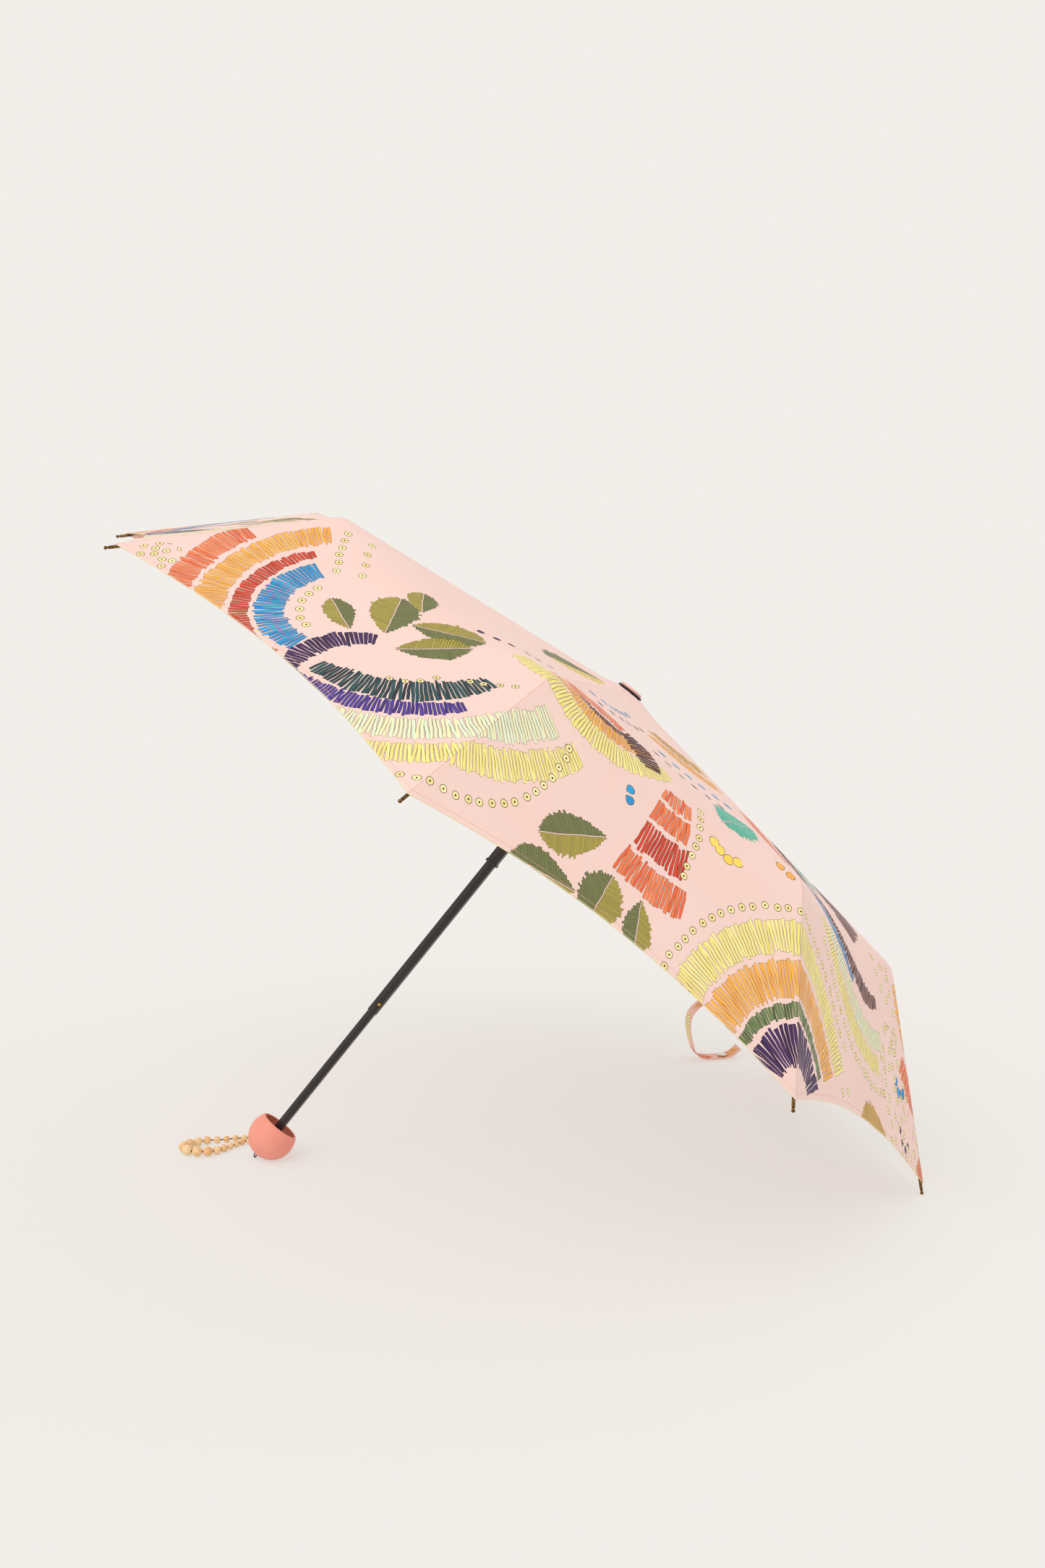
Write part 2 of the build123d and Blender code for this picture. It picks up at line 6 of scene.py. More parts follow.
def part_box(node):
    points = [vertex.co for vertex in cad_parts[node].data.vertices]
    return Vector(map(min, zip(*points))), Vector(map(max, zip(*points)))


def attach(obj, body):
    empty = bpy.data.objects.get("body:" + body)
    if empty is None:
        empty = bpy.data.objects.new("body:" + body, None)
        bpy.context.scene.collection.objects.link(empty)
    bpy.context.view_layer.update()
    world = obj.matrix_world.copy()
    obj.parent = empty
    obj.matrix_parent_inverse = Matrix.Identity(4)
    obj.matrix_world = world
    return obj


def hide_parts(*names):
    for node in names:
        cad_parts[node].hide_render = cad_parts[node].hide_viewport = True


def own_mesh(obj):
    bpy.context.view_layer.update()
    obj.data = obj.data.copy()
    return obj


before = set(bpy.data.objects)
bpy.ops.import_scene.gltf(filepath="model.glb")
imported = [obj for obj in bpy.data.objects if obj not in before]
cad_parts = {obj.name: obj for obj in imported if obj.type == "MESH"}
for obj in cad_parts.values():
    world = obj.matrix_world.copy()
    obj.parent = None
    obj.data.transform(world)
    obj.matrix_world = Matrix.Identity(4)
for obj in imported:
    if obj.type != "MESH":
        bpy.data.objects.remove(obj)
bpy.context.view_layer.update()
mm = 0.001

# A folding umbrella, open, resting on its ball handle and two rib tips.
# Pieces are modelled with the shaft upright and the crown at the origin, then leaned onto the floor.
umbrella = {
    "arms": 8,
    "rimRadius": 480 * mm,      # shaft axis to the ball end of a rib tip
    "rimDrop": 186 * mm,
    "shaftLength": 522 * mm,    # crown to the middle of the handle ball
    "ballRadius": 21.7 * mm,
    "tipRadius": 1.5 * mm,
}
sector = 2 * math.pi / umbrella["arms"]
upShaft = umbrella["shaftLength"] - umbrella["rimDrop"]
outShaft = umbrella["rimRadius"] * math.cos(sector / 2)
lean = math.atan2(outShaft, upShaft) + math.asin(
    (umbrella["tipRadius"] - umbrella["ballRadius"]) / math.hypot(upShaft, outShaft))
leaned = (Matrix.Translation((0, 0, umbrella["ballRadius"]))
          @ Matrix.Rotation(math.pi / 2 - lean, 4, "Y")
          @ Matrix.Translation((0, 0, umbrella["shaftLength"])))


# small helpers

def linearColour(hexCode, alpha=1.0):
    parts = [int(hexCode[i:i + 2], 16) / 255 for i in (1, 3, 5)]
    return [p / 12.92 if p <= 0.04045 else ((p + 0.055) / 1.055) ** 2.4 for p in parts] + [alpha]


def setInputs(tree, node, inputs, known):
    # an input is a value, a hex colour, a socket, or the name of an earlier node, which its output's
    # name follows after a dot when that isn't the first
    for name, value in inputs.items() if isinstance(inputs, dict) else enumerate(inputs):
        if isinstance(value, str) and value.startswith("#"):
            value = linearColour(value)
        if isinstance(value, str):
            source, _, output = value.partition(".")
            value = known[source]
            if isinstance(value, bpy.types.Node):
                value = value.outputs[output or 0]
        if isinstance(value, bpy.types.NodeSocket):
            tree.links.new(value, node.inputs[name])
        else:
            node.inputs[name].default_value = value


def addNode(tree, kind, settings, inputs, known):
    # settings are the node's own options, or only its operation, which for a mix is its data type
    node = tree.nodes.new(kind if kind.startswith("NodeGroup") else "ShaderNode" + kind)
    if isinstance(settings, str):
        settings = {"data_type" if kind == "Mix" else "operation": settings}
    for name, value in settings.items():
        setattr(node, name, value)
    setInputs(tree, node, inputs, known)
    return node


def addNodes(tree, known, rows):
    # a row is a node's own name here, its kind, settings and inputs
    for name, kind, settings, inputs in rows:
        known[name] = addNode(tree, kind, settings, inputs, known)


def newMaterial(name, rows, surface):
    material = bpy.data.materials.new(name)
    material.use_nodes = True
    known = {}
    addNodes(material.node_tree, known, rows)
    setInputs(material.node_tree, material.node_tree.nodes["Principled BSDF"], surface, known)
    return material


def deselectAll():
    if bpy.context.mode != "OBJECT":
        bpy.ops.object.mode_set(mode="OBJECT")
    bpy.ops.object.select_all(action="DESELECT")


def makeActive(piece):
    deselectAll()
    piece.select_set(True)
    bpy.context.view_layer.objects.active = piece


def settle(piece, place=leaned):
    # the piece's place goes into its mesh, so its object stays at the origin
    makeActive(piece)
    piece.matrix_world = place @ piece.matrix_world
    bpy.ops.object.transform_apply(location=True, rotation=True, scale=True)
    return piece


def applyModifier(piece, kind, **settings):
    makeActive(piece)
    modifier = piece.modifiers.new(kind.title(), kind)
    for name, value in settings.items():
        setattr(modifier, name, value)
    bpy.ops.object.modifier_apply(modifier=modifier.name)


def smoothByAngle(piece, degrees=35):
    makeActive(piece)
    bpy.ops.object.shade_smooth_by_angle(angle=math.radians(degrees))


def turnedPiece(name, outline, sides=48, closed=False):
    # outline is (radius, height) in millimetres, from the bottom upwards on the outside
    deselectAll()
    radius, height = outline[0]
    radius = max(radius, 0.01)
    bpy.ops.mesh.primitive_circle_add(vertices=sides, radius=radius * mm, location=(0, 0, height * mm))
    piece = bpy.context.object
    piece.name = name
    bpy.ops.object.transform_apply(location=True, rotation=False, scale=False)
    bpy.ops.object.mode_set(mode="EDIT")
    bpy.ops.mesh.select_all(action="SELECT")
    for nextRadius, nextHeight in outline[1:] + ([outline[0]] if closed else []):
        nextRadius = max(nextRadius, 0.01)
        bpy.ops.mesh.extrude_region_move(TRANSFORM_OT_translate={"value": (0, 0, (nextHeight - height) * mm)})
        share = nextRadius / radius
        bpy.ops.transform.resize(value=(share, share, 1), center_override=(0, 0, nextHeight * mm))
        radius, height = nextRadius, nextHeight
    bpy.ops.mesh.select_all(action="SELECT")
    bpy.ops.mesh.remove_doubles(threshold=0.02 * mm)
    bpy.ops.mesh.normals_make_consistent(inside=False)
    bpy.ops.object.mode_set(mode="OBJECT")
    return piece


def giveMaterial(piece, *materials):
    piece.data.materials.clear()
    for material in materials:
        piece.data.materials.append(material)


# camera, floor and light

cameraSettings = {
    "lens": 46.845,
    "place": (-0.08023, -1.81533, 0.61026),
    "right": (0.98572154, -0.16830883, 0.00501759),
    "up": (0.01927932, 0.14241405, 0.9896194),
    "back": (-0.16727626, -0.97539242, 0.14362547),
}
cameraData = bpy.data.cameras.new("camera")
cameraData.lens = cameraSettings["lens"]
cameraData.sensor_width = 36
cameraData.clip_start, cameraData.clip_end = 0.05, 50
camera = bpy.data.objects.new("camera", cameraData)
bpy.context.collection.objects.link(camera)
turn = Matrix((cameraSettings["right"], cameraSettings["up"], cameraSettings["back"])).transposed()
camera.matrix_world = Matrix.Translation(cameraSettings["place"]) @ turn.to_4x4()
bpy.context.scene.camera = camera

studio = {
    "floorSize": 60,
    "airColour": "#F2EEE9",
    "floorGlow": 0.6,           # share of the floor's brightness that no shadow takes away
    "sunStrength": 0.95,
    "sunSpread": 55,            # degrees across, as soft as a big lamp close by
    "sunPlace": (-1.2, -1.6, 2.6),
}
bpy.context.scene.view_settings.view_transform = "Standard"
sunDirection = (Vector((0.25, 0, 0.25)) - Vector(studio["sunPlace"])).normalized()
sunOnFloor = studio["sunStrength"] * -sunDirection.z / math.pi
deselectAll()
bpy.ops.mesh.primitive_plane_add(size=studio["floorSize"], location=(0, 0, 0))
floor = bpy.context.object
floor.name = "studioFloor"
airLight = linearColour(studio["airColour"])
glow = studio["floorGlow"]
paperTone = [(1 - glow) * airLight[i] / (airLight[i] + sunOnFloor) for i in range(3)] + [1]
# matt paper, toned so that the lit floor is as bright as the air behind it
floorPaper = newMaterial("floorPaper", [], {
    "Base Color": paperTone, "Emission Color": airLight, "Emission Strength": glow, "Roughness": 1.0,
    "Specular IOR Level": 0.0})
giveMaterial(floor, floorPaper)

world = bpy.data.worlds.new("studioAir")
bpy.context.scene.world = world
world.use_nodes = True
air = world.node_tree.nodes["Background"]
air.inputs["Color"].default_value = airLight
sunData = bpy.data.lights.new("softSun", "SUN")
sunData.energy = studio["sunStrength"]
sunData.angle = math.radians(studio["sunSpread"])
sun = bpy.data.objects.new("softSun", sunData)
bpy.context.collection.objects.link(sun)
sun.location = studio["sunPlace"]
sun.rotation_mode = "QUATERNION"
sun.rotation_quaternion = sunDirection.to_track_quat("-Z", "Y")
print("camera, floor and lights are in place")


# wrist loop: a dark waxed cord, which comes first

cordSettings = {
    "diameter": 1.2 * mm,
    "route": [
        (-10.6, -1.1, 8.7), (-15.9, -1.5, 2.1), (-16.4, 8.0, 1.0), (-14.6, 20.0, 1.2), (-13.8, 31.5, 1.9),
        (-16.0, 41.5, 2.8), (-23.5, 46.8, 3.2), (-31.5, 38.0, 3.2), (-40.0, 29.5, 3.5), (-48.0, 20.5, 4.1),
        (-57.0, 15.5, 4.8), (-67.0, 15.2, 5.3), (-77.0, 20.0, 5.4), (-80.5, 29.5, 5.3), (-76.0, 39.0, 5.0),
        (-68.0, 46.0, 4.6), (-59.0, 51.0, 4.1), (-50.0, 52.0, 3.6), (-40.5, 53.5, 3.2), (-30.0, 56.0, 3.2),
        (-19.0, 55.5, 3.2), (-9.0, 49.5, 2.6), (-5.6, 38.5, 1.8), (-6.4, 26.5, 1.2), (-9.4, 14.0, 1.0),
        (-14.0, 2.8, 3.2), (-10.6, 1.1, 8.7)],
}


def nurbsLine(name, points):
    curve = bpy.data.curves.new(name, "CURVE")
    curve.dimensions = "3D"
    curve.resolution_u = 12
    spline = curve.splines.new("NURBS")
    spline.points.add(len(points) - 1)
    for point, place in zip(spline.points, points):
        point.co = (*[c * mm for c in place], 1)
    spline.order_u = 3
    spline.use_endpoint_u = True
    line = bpy.data.objects.new(name, curve)
    bpy.context.collection.objects.link(line)
    return line


def pointsAlong(line):
    # the line's own points, read before it has a thickness
    bpy.context.view_layer.update()
    mesh = bpy.data.meshes.new_from_object(line)
    points = [v.co.copy() for v in mesh.vertices]
    bpy.data.meshes.remove(mesh)
    return points


class Walk:
    # place and direction at a distance along a row of points
    def __init__(self, points):
        self.points = points
        self.far = [0.0]
        for a, b in zip(points, points[1:]):
            self.far.append(self.far[-1] + (b - a).length)
        self.length = self.far[-1]

    def at(self, distance):
        distance = min(max(distance, 0.0), self.length)
        i = next((k for k in range(1, len(self.far)) if self.far[k] >= distance), len(self.far) - 1)
        a, b = self.points[i - 1], self.points[i]
        run = max(self.far[i] - self.far[i - 1], 1e-9)
        return a.lerp(b, (distance - self.far[i - 1]) / run), (b - a).normalized()


wristCord = nurbsLine("wristCord", cordSettings["route"])
loopWalk = Walk(pointsAlong(wristCord))
wristCord.data.bevel_depth = cordSettings["diameter"] / 2
wristCord.data.bevel_resolution = 4
wristCord.data.use_fill_caps = True
print("cord length", round(loopWalk.length, 4))

# twisted cotton: a fine diagonal twist in dark brown, with painted shade darkening its grooves and its raised
# strands painted lighter
cordWax = newMaterial("waxedCottonCord", [
    ("coord", "TexCoord", {}, {}),
    ("twist", "TexWave", {"wave_type": "BANDS", "bands_direction": "DIAGONAL"},
     {"Vector": "coord.Object", "Scale": 520.0, "Distortion": 1.5, "Detail": 1.0}),
    # painted shade: the twist's grooves darker and its strands lighter, over the cord's own dark brown
    ("shade", "Mix", "RGBA", {"Factor": "twist.Fac", "A": "#2A1D17", "B": "#5A4234"}),
    ("bump", "Bump", {}, {"Height": "twist.Fac", "Strength": 0.6, "Distance": 0.0002}),
], {"Base Color": "shade.Result", "Normal": "bump", "Roughness": 0.7})
wristCord.data.materials.append(cordWax)


# wooden beads on the loop

beadSettings = {
    "smallRadius": 3.0 * mm,
    "largeRadius": 5.2 * mm,
    "gap": 0.3 * mm,
    "bareCord": 38 * mm,        # from the handle to the first bead, at each end
    "floorGap": 0.1 * mm,
    "sides": 24,
    "rings": 18,
}


def modelBead():
    # a ball with a drilled, slightly countersunk hole
    deselectAll()
    bpy.ops.mesh.primitive_uv_sphere_add(
        segments=beadSettings["sides"], ring_count=beadSettings["rings"], radius=1)
    bead = bpy.context.object
    bead.name = "woodBead"
    bpy.ops.object.mode_set(mode="EDIT")
    bpy.ops.mesh.select_mode(type="VERT")
    bpy.ops.mesh.select_all(action="DESELECT")
    bpy.ops.object.mode_set(mode="OBJECT")
    for vertex in bead.data.vertices:
        vertex.select = abs(vertex.co.z) > 0.999
    bpy.ops.object.mode_set(mode="EDIT")
    bpy.ops.mesh.delete(type="VERT")
    bpy.ops.mesh.select_all(action="DESELECT")
    bpy.ops.mesh.select_non_manifold(extend=False)
    bpy.ops.mesh.bridge_edge_loops()
    bpy.ops.mesh.select_all(action="SELECT")
    bpy.ops.mesh.normals_make_consistent(inside=False)
    bpy.ops.object.mode_set(mode="OBJECT")
    return bead


def beadRadius(distance):
    half = loopWalk.length / 2 - beadSettings["bareCord"]
    share = min(1.0, max(0.0, 1 - abs(distance - loopWalk.length / 2) / half))
    small, large = beadSettings["smallRadius"], beadSettings["largeRadius"]
    return small + (large - small) * share ** 0.8


def beadDistances():
    middle = loopWalk.length / 2
    places = [middle]
    for way in (-1, 1):
        here = middle
        while True:
            there = here + way * 2 * beadRadius(here)
            there = here + way * (beadRadius(here) + beadRadius(there) + beadSettings["gap"])
            if abs(there - middle) > middle - beadSettings["bareCord"]:
                break
            places.append(there)
            here = there
    return sorted(places)


pattern = modelBead()
beadPieces = []
distances = beadDistances()
for number, distance in enumerate(distances):
    centre, along = loopWalk.at(distance)
    radius = min(beadRadius(distance), centre.z - beadSettings["floorGap"])
    bead = pattern.copy()
    bead.data = pattern.data.copy()
    bpy.context.collection.objects.link(bead)
    turn = along.to_track_quat("Z", "Y").to_matrix().to_4x4()
    spin = Matrix.Rotation(2.4 * number, 4, "Z")
    bead.matrix_world = Matrix.Translation(centre) @ turn @ spin @ Matrix.Scale(radius, 4)
    shades = bead.data.attributes.new("beadShade", "FLOAT", "POINT")
    shades.data.foreach_set("value", [(number * 0.618) % 1.0] * len(bead.data.vertices))
    grain = bead.data.attributes.new("grainPlace", "FLOAT_VECTOR", "POINT")
    grain.data.foreach_set("vector", [c for v in bead.data.vertices for c in (
        v.co.x * radius + number * 0.03, v.co.y * radius, v.co.z * radius)])
    beadPieces.append(bead)
bpy.data.objects.remove(pattern)
deselectAll()
for bead in beadPieces:
    bead.select_set(True)
bpy.context.view_layer.objects.active = beadPieces[0]
bpy.ops.object.transform_apply(location=True, rotation=True, scale=True)
bpy.ops.object.join()
woodBeads = bpy.context.object
woodBeads.name = "woodBeads"
smoothByAngle(woodBeads, 50)

# pale turned beech: fine grain lines along the bore, satin
beadWood = newMaterial("turnedBeech", [
    ("grainPlace", "Attribute", {"attribute_name": "grainPlace"}, {}),
    ("beadShade", "Attribute", {"attribute_name": "beadShade"}, {}),
    ("stretched", "Mapping", {}, {"Vector": "grainPlace.Vector", "Scale": (1400, 1400, 160)}),
    ("fibre", "TexNoise", {}, {"Vector": "stretched.Vector", "Scale": 1.0, "Detail": 4.0}),
    ("rings", "TexWave", {"wave_type": "BANDS", "bands_direction": "X"},
     {"Vector": "grainPlace.Vector", "Scale": 130.0, "Distortion": 2.5, "Detail": 2.0}),
    ("woodTone", "Mix", "RGBA", {"Factor": "beadShade.Fac", "A": "#F3DDB0", "B": "#EBC08A"}),
    ("ringColour", "Mix", "RGBA", {"Factor": "rings.Fac", "A": "#E2B884", "B": "#FFFFFF"}),
    ("ringTone", "Mix", {"data_type": "RGBA", "blend_type": "MULTIPLY"},
     {"Factor": 0.35, "A": "woodTone.Result", "B": "ringColour.Result"}),
    ("fleck", "MapRange", {},
     {"Value": "fibre.Fac", "From Min": 0.62, "From Max": 0.72, "To Min": 0.0, "To Max": 0.5}),
    ("flecked", "Mix", "RGBA", {"Factor": "fleck.Result", "A": "ringTone.Result", "B": "#B98550"}),
    ("bump", "Bump", {}, {"Height": "fibre.Fac", "Strength": 0.25, "Distance": 0.0001}),
], {"Base Color": "flecked.Result", "Normal": "bump", "Roughness": 0.48})
giveMaterial(woodBeads, beadWood)
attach(wristCord, "lower_tube")
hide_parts("bead_cord")
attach(woodBeads, "lower_tube")
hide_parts("beads")
print("wrist loop with", len(distances), "beads")


# cover: one stretched cloth over eight ribs

coverSettings = {
    "seamLine": [(2.9, -0.65), (12.1, -0.65), (33.44, -5.89), (337.8, -47.58), (475.82, -178.77)],
    "seamBends": [4, 12, 25],        # the cloth's bends over a rib, in millimetres
    "middleBends": [6, 40, 165],     # halfway between two ribs, where it is free to round off
    "hemRise": 22.0,                 # how far the hem curves in between two ribs
    "sag": 2.2,
    "ripple": 0.9,
    "rows": 72,
    "halfColumns": 12,
    "stripsPerGore": 4,              # where the cloth pleats when the ribs fold
    "clothThickness": 0.3,
    "hemThickness": 0.8,
    "hemWidth": 6.0,
    "seamLength": 528,
    "cutLength": 0.53,               # of a strip before it is sewn, in metres
    "cutSpare": 1.2,                 # its width beside the widest part of the open strip
    "closedShare": 0.045,
}


def roundedLine(points, bends):
    # straight runs with an arc at each inner point
    line = [Vector(points[0])]
    for before, here, after, bend in zip(points, points[1:], points[2:], bends):
        here = Vector(here)
        comeIn, goOut = (here - Vector(before)).normalized(), (Vector(after) - here).normalized()
        turned = comeIn.angle(goOut)
        reach = bend * math.tan(turned / 2)
        inward = (goOut - comeIn).normalized()
        centre = here + inward * (bend / math.cos(turned / 2))
        start = here - comeIn * reach
        for i in range(13):
            share = i / 12
            spoke = (start - centre) * math.sin((1 - share) * turned) + (
                here + goOut * reach - centre) * math.sin(share * turned)
            line.append(centre + spoke / max(math.sin(turned), 1e-9))
    line.append(Vector(points[-1]))
    return line


def coverLine(across):
    # section of the cover from crown to hem; across is 1 on a rib and 0 halfway to the next
    free = 1 - across * across
    bends = [a + (b - a) * free for a, b in zip(coverSettings["seamBends"], coverSettings["middleBends"])]
    points = [Vector(p) for p in coverSettings["seamLine"]]
    slopeLength = math.hypot((points[4].x - points[3].x) * math.cos(sector / 2), points[4].y - points[3].y)
    points[4] = points[4].lerp(points[3], coverSettings["hemRise"] / slopeLength * free)
    return Walk(roundedLine(points, bends))


def makeCover():
    perGore = 2 * coverSettings["halfColumns"] + 2
    steps = [i / coverSettings["halfColumns"] for i in range(coverSettings["halfColumns"])] + [0.985, 1.0]
    acrossSteps = [-s for s in reversed(steps)] + steps[1:]
    columns = perGore * umbrella["arms"]
    hemShare = coverSettings["hemWidth"] / coverSettings["seamLength"]
    rowShares = [i / coverSettings["rows"] * (1 - hemShare * 1.1) for i in range(coverSettings["rows"] + 1)]
    rowShares += [1 - hemShare, 1 - hemShare * 0.5, 1.0]
    walks = {round(a, 5): coverLine(abs(a)) for a in acrossSteps}
    deselectAll()
    bpy.ops.mesh.primitive_grid_add(x_subdivisions=columns, y_subdivisions=len(rowShares) - 1, size=2)
    cover = bpy.context.object
    cover.name = "cover"
    mesh = cover.data
    plan, seam, hem = [], [], []
    for vertex in mesh.vertices:
        column = round((vertex.co.x + 1) / 2 * columns)
        row = round((vertex.co.y + 1) / 2 * (len(rowShares) - 1))
        gore, step = divmod(column, perGore)
        if gore == umbrella["arms"]:
            gore, step = gore - 1, perGore
        across = acrossSteps[step]
        walk = walks[round(across, 5)]
        distance = walk.length * rowShares[row]
        place, direction = walk.at(distance)
        share = distance / walk.length
        free = 1 - across * across
        down = Vector((direction.y, -direction.x))
        inward = coverSettings["sag"] * free * math.sin(math.pi * share)
        middle = sector * gore
        chord = Vector((place.x * math.cos(sector / 2), place.x * math.sin(sector / 2) * across))
        angle = middle + math.atan2(chord.y, chord.x)
        grown = distance + coverSettings["seamLine"][0][0]
        reach = grown * math.cos(sector / 2) / math.cos(angle - middle)
        wave = noise.noise(Vector((reach * math.cos(angle) / 42, reach * math.sin(angle) / 42, 3.1)))
        inward += coverSettings["ripple"] * wave * free * min(1.0, share * 1.6)
        x = chord.x + down.x * inward * math.cos(sector / 2)
        z = place.y + down.y * inward
        turned = Matrix.Rotation(middle, 2) @ Vector((x, chord.y))
        vertex.co = (turned.x * mm, turned.y * mm, z * mm)
        plan.append((reach * math.cos(angle) * mm, reach * math.sin(angle) * mm, 0.0))
        seam.append((1 - abs(across)) * place.x * math.sin(sector / 2) * mm)
        hem.append((walk.length - distance) * mm)
    values = mesh.attributes.new("clothPlan", "FLOAT_VECTOR", "POINT")
    values.data.foreach_set("vector", [c for p in plan for c in p])
    for name, numbers in (("seamDistance", seam), ("hemDistance", hem)):
        values = mesh.attributes.new(name, "FLOAT", "POINT")
        values.data.foreach_set("value", numbers)
    makeActive(cover)
    bpy.ops.object.mode_set(mode="EDIT")
    bpy.ops.mesh.select_all(action="SELECT")
    bpy.ops.mesh.remove_doubles(threshold=0.05 * mm)
    bpy.ops.mesh.normals_make_consistent(inside=False)
    bpy.ops.object.mode_set(mode="OBJECT")
    if mesh.polygons[len(mesh.polygons) // 2].normal.z < 0:
        bpy.ops.object.mode_set(mode="EDIT")
        bpy.ops.mesh.select_all(action="SELECT")
        bpy.ops.mesh.flip_normals()
        bpy.ops.object.mode_set(mode="OBJECT")
    bpy.ops.object.shade_smooth()
    settle(cover)
    return cover


def splitCover(cover):
    # the cloth pleats where it folds, so it is cut into narrow radial strips that stay edge to edge at rest
    mesh = cover.data
    normals = mesh.attributes.new("clothNormal", "FLOAT_VECTOR", "POINT")
    normals.data.foreach_set("vector", [c for n in mesh.vertex_normals for c in n.vector])
    upright = leaned.inverted()
    perTurn = coverSettings["stripsPerGore"] * umbrella["arms"]

    def stripOf(point):
        p = upright @ point
        angle = math.atan2(p.y, p.x) + sector / 2
        gore = math.floor(angle / sector)
        across = math.tan(angle - sector * (gore + 0.5)) / math.tan(sector / 2)
        perGore = coverSettings["stripsPerGore"]
        strip = min(perGore - 1, int((across + 1) / 2 * perGore))
        return (gore * perGore + strip) % perTurn

    owner = [stripOf(face.center) for face in mesh.polygons]
    sides = {}
    for face in mesh.polygons:
        for key in face.edge_keys:
            sides.setdefault(key, []).append(owner[face.index])
    makeActive(cover)
    bpy.ops.object.mode_set(mode="EDIT")
    bpy.ops.mesh.select_mode(type="EDGE")
    bpy.ops.mesh.select_all(action="DESELECT")
    bpy.ops.object.mode_set(mode="OBJECT")
    for edge in mesh.edges:
        around = sides[edge.key]
        edge.select = len(around) == 2 and around[0] != around[1]
    bpy.ops.object.mode_set(mode="EDIT")
    bpy.ops.mesh.edge_split(type="EDGE")
    bpy.ops.mesh.select_all(action="SELECT")
    bpy.ops.mesh.separate(type="LOOSE")
    bpy.ops.object.mode_set(mode="OBJECT")
    strips = {stripOf(piece.data.polygons[len(piece.data.polygons) // 2].center): piece
              for piece in bpy.context.selected_objects}
    return [strips[number] for number in sorted(strips)]


def thickenStrip(strip):
    # cloth of one thickness, with a double-folded hem along its free edge
    mesh = strip.data
    hem = [v.value for v in mesh.attributes["hemDistance"].data]
    group = strip.vertex_groups.new(name="clothShare")
    thin = coverSettings["clothThickness"] / coverSettings["hemThickness"]
    inHem = coverSettings["hemWidth"] * mm + 0.0001
    group.add([i for i, far in enumerate(hem) if far <= inHem], 1.0, "REPLACE")
    group.add([i for i, far in enumerate(hem) if far > inHem], thin, "REPLACE")
    applyModifier(strip, "SOLIDIFY", thickness=coverSettings["hemThickness"] * mm, offset=-1,
                  vertex_group="clothShare", use_even_offset=False, material_offset=1, material_offset_rim=0)
    mesh = strip.data
    outward = [Vector(v.vector) for v in mesh.attributes["clothNormal"].data]
    cornerNormals = []
    for face in mesh.polygons:
        for corner in face.loop_indices:
            clothNormal = outward[mesh.loops[corner].vertex_index]
            facing = face.normal.dot(clothNormal)
            if facing > 0.5:
                cornerNormals.append(clothNormal)
            elif facing < -0.5:
                cornerNormals.append(-clothNormal)
            else:
                cornerNormals.append(face.normal.copy())
    mesh.normals_split_custom_set(cornerNormals)


cover = makeCover()
strips = splitCover(cover)
print("cover cut into", len(strips), "strips")


# The cover's print: hand-drawn stitches in fans, crescents and leaves, with rows of sequins.
# Motifs lie on the cloth as cut, in millimetres from the crown, and run on across the seams.
inkColour = "#3A2418"
printSettings = {
    "ground": "#F5D8D0",
    "groundShade": "#F1CDC5",
    "ink": 0.27,          # width of the drawn outline, in millimetres
    "sequinInk": 0.5,     # the same round a sequin
    "leafStroke": 2.3,
    "sequinRadius": 3.4,
    "insideFade": 0.62,   # how much of the print is lost on the cloth's back
}
palette = {
    "orange": ("#F58A55", "#E8643C"), "gold": ("#FCBC5C", "#F2A544"), "red": ("#DB4A2E", "#C23A26"),
    "blue": ("#35A3DE", "#2080BE"), "navy": ("#4A2C62", "#33214A"), "teal": ("#28585C", "#2A3038"),
    "violet": ("#5640A0", "#3C2A7C"), "mint": ("#E3F2D2", "#F4F0BC"), "lemon": ("#FBF29A", "#F5E583"),
    "olive": ("#B0A53A", "#938A30"), "leafDark": ("#6B7A3C", "#4C5230"), "brown": ("#6E3524", "#472630"),
    "ochre": ("#DCAE42", "#C08F30"), "jade": ("#3CD0B4", "#9CE4CE"), "sun": ("#FFE06A", "#F9D254"),
    "cream": ("#FBF2B4", "#F3E298"), "green": ("#6F8F52", "#4A5E36"),
}


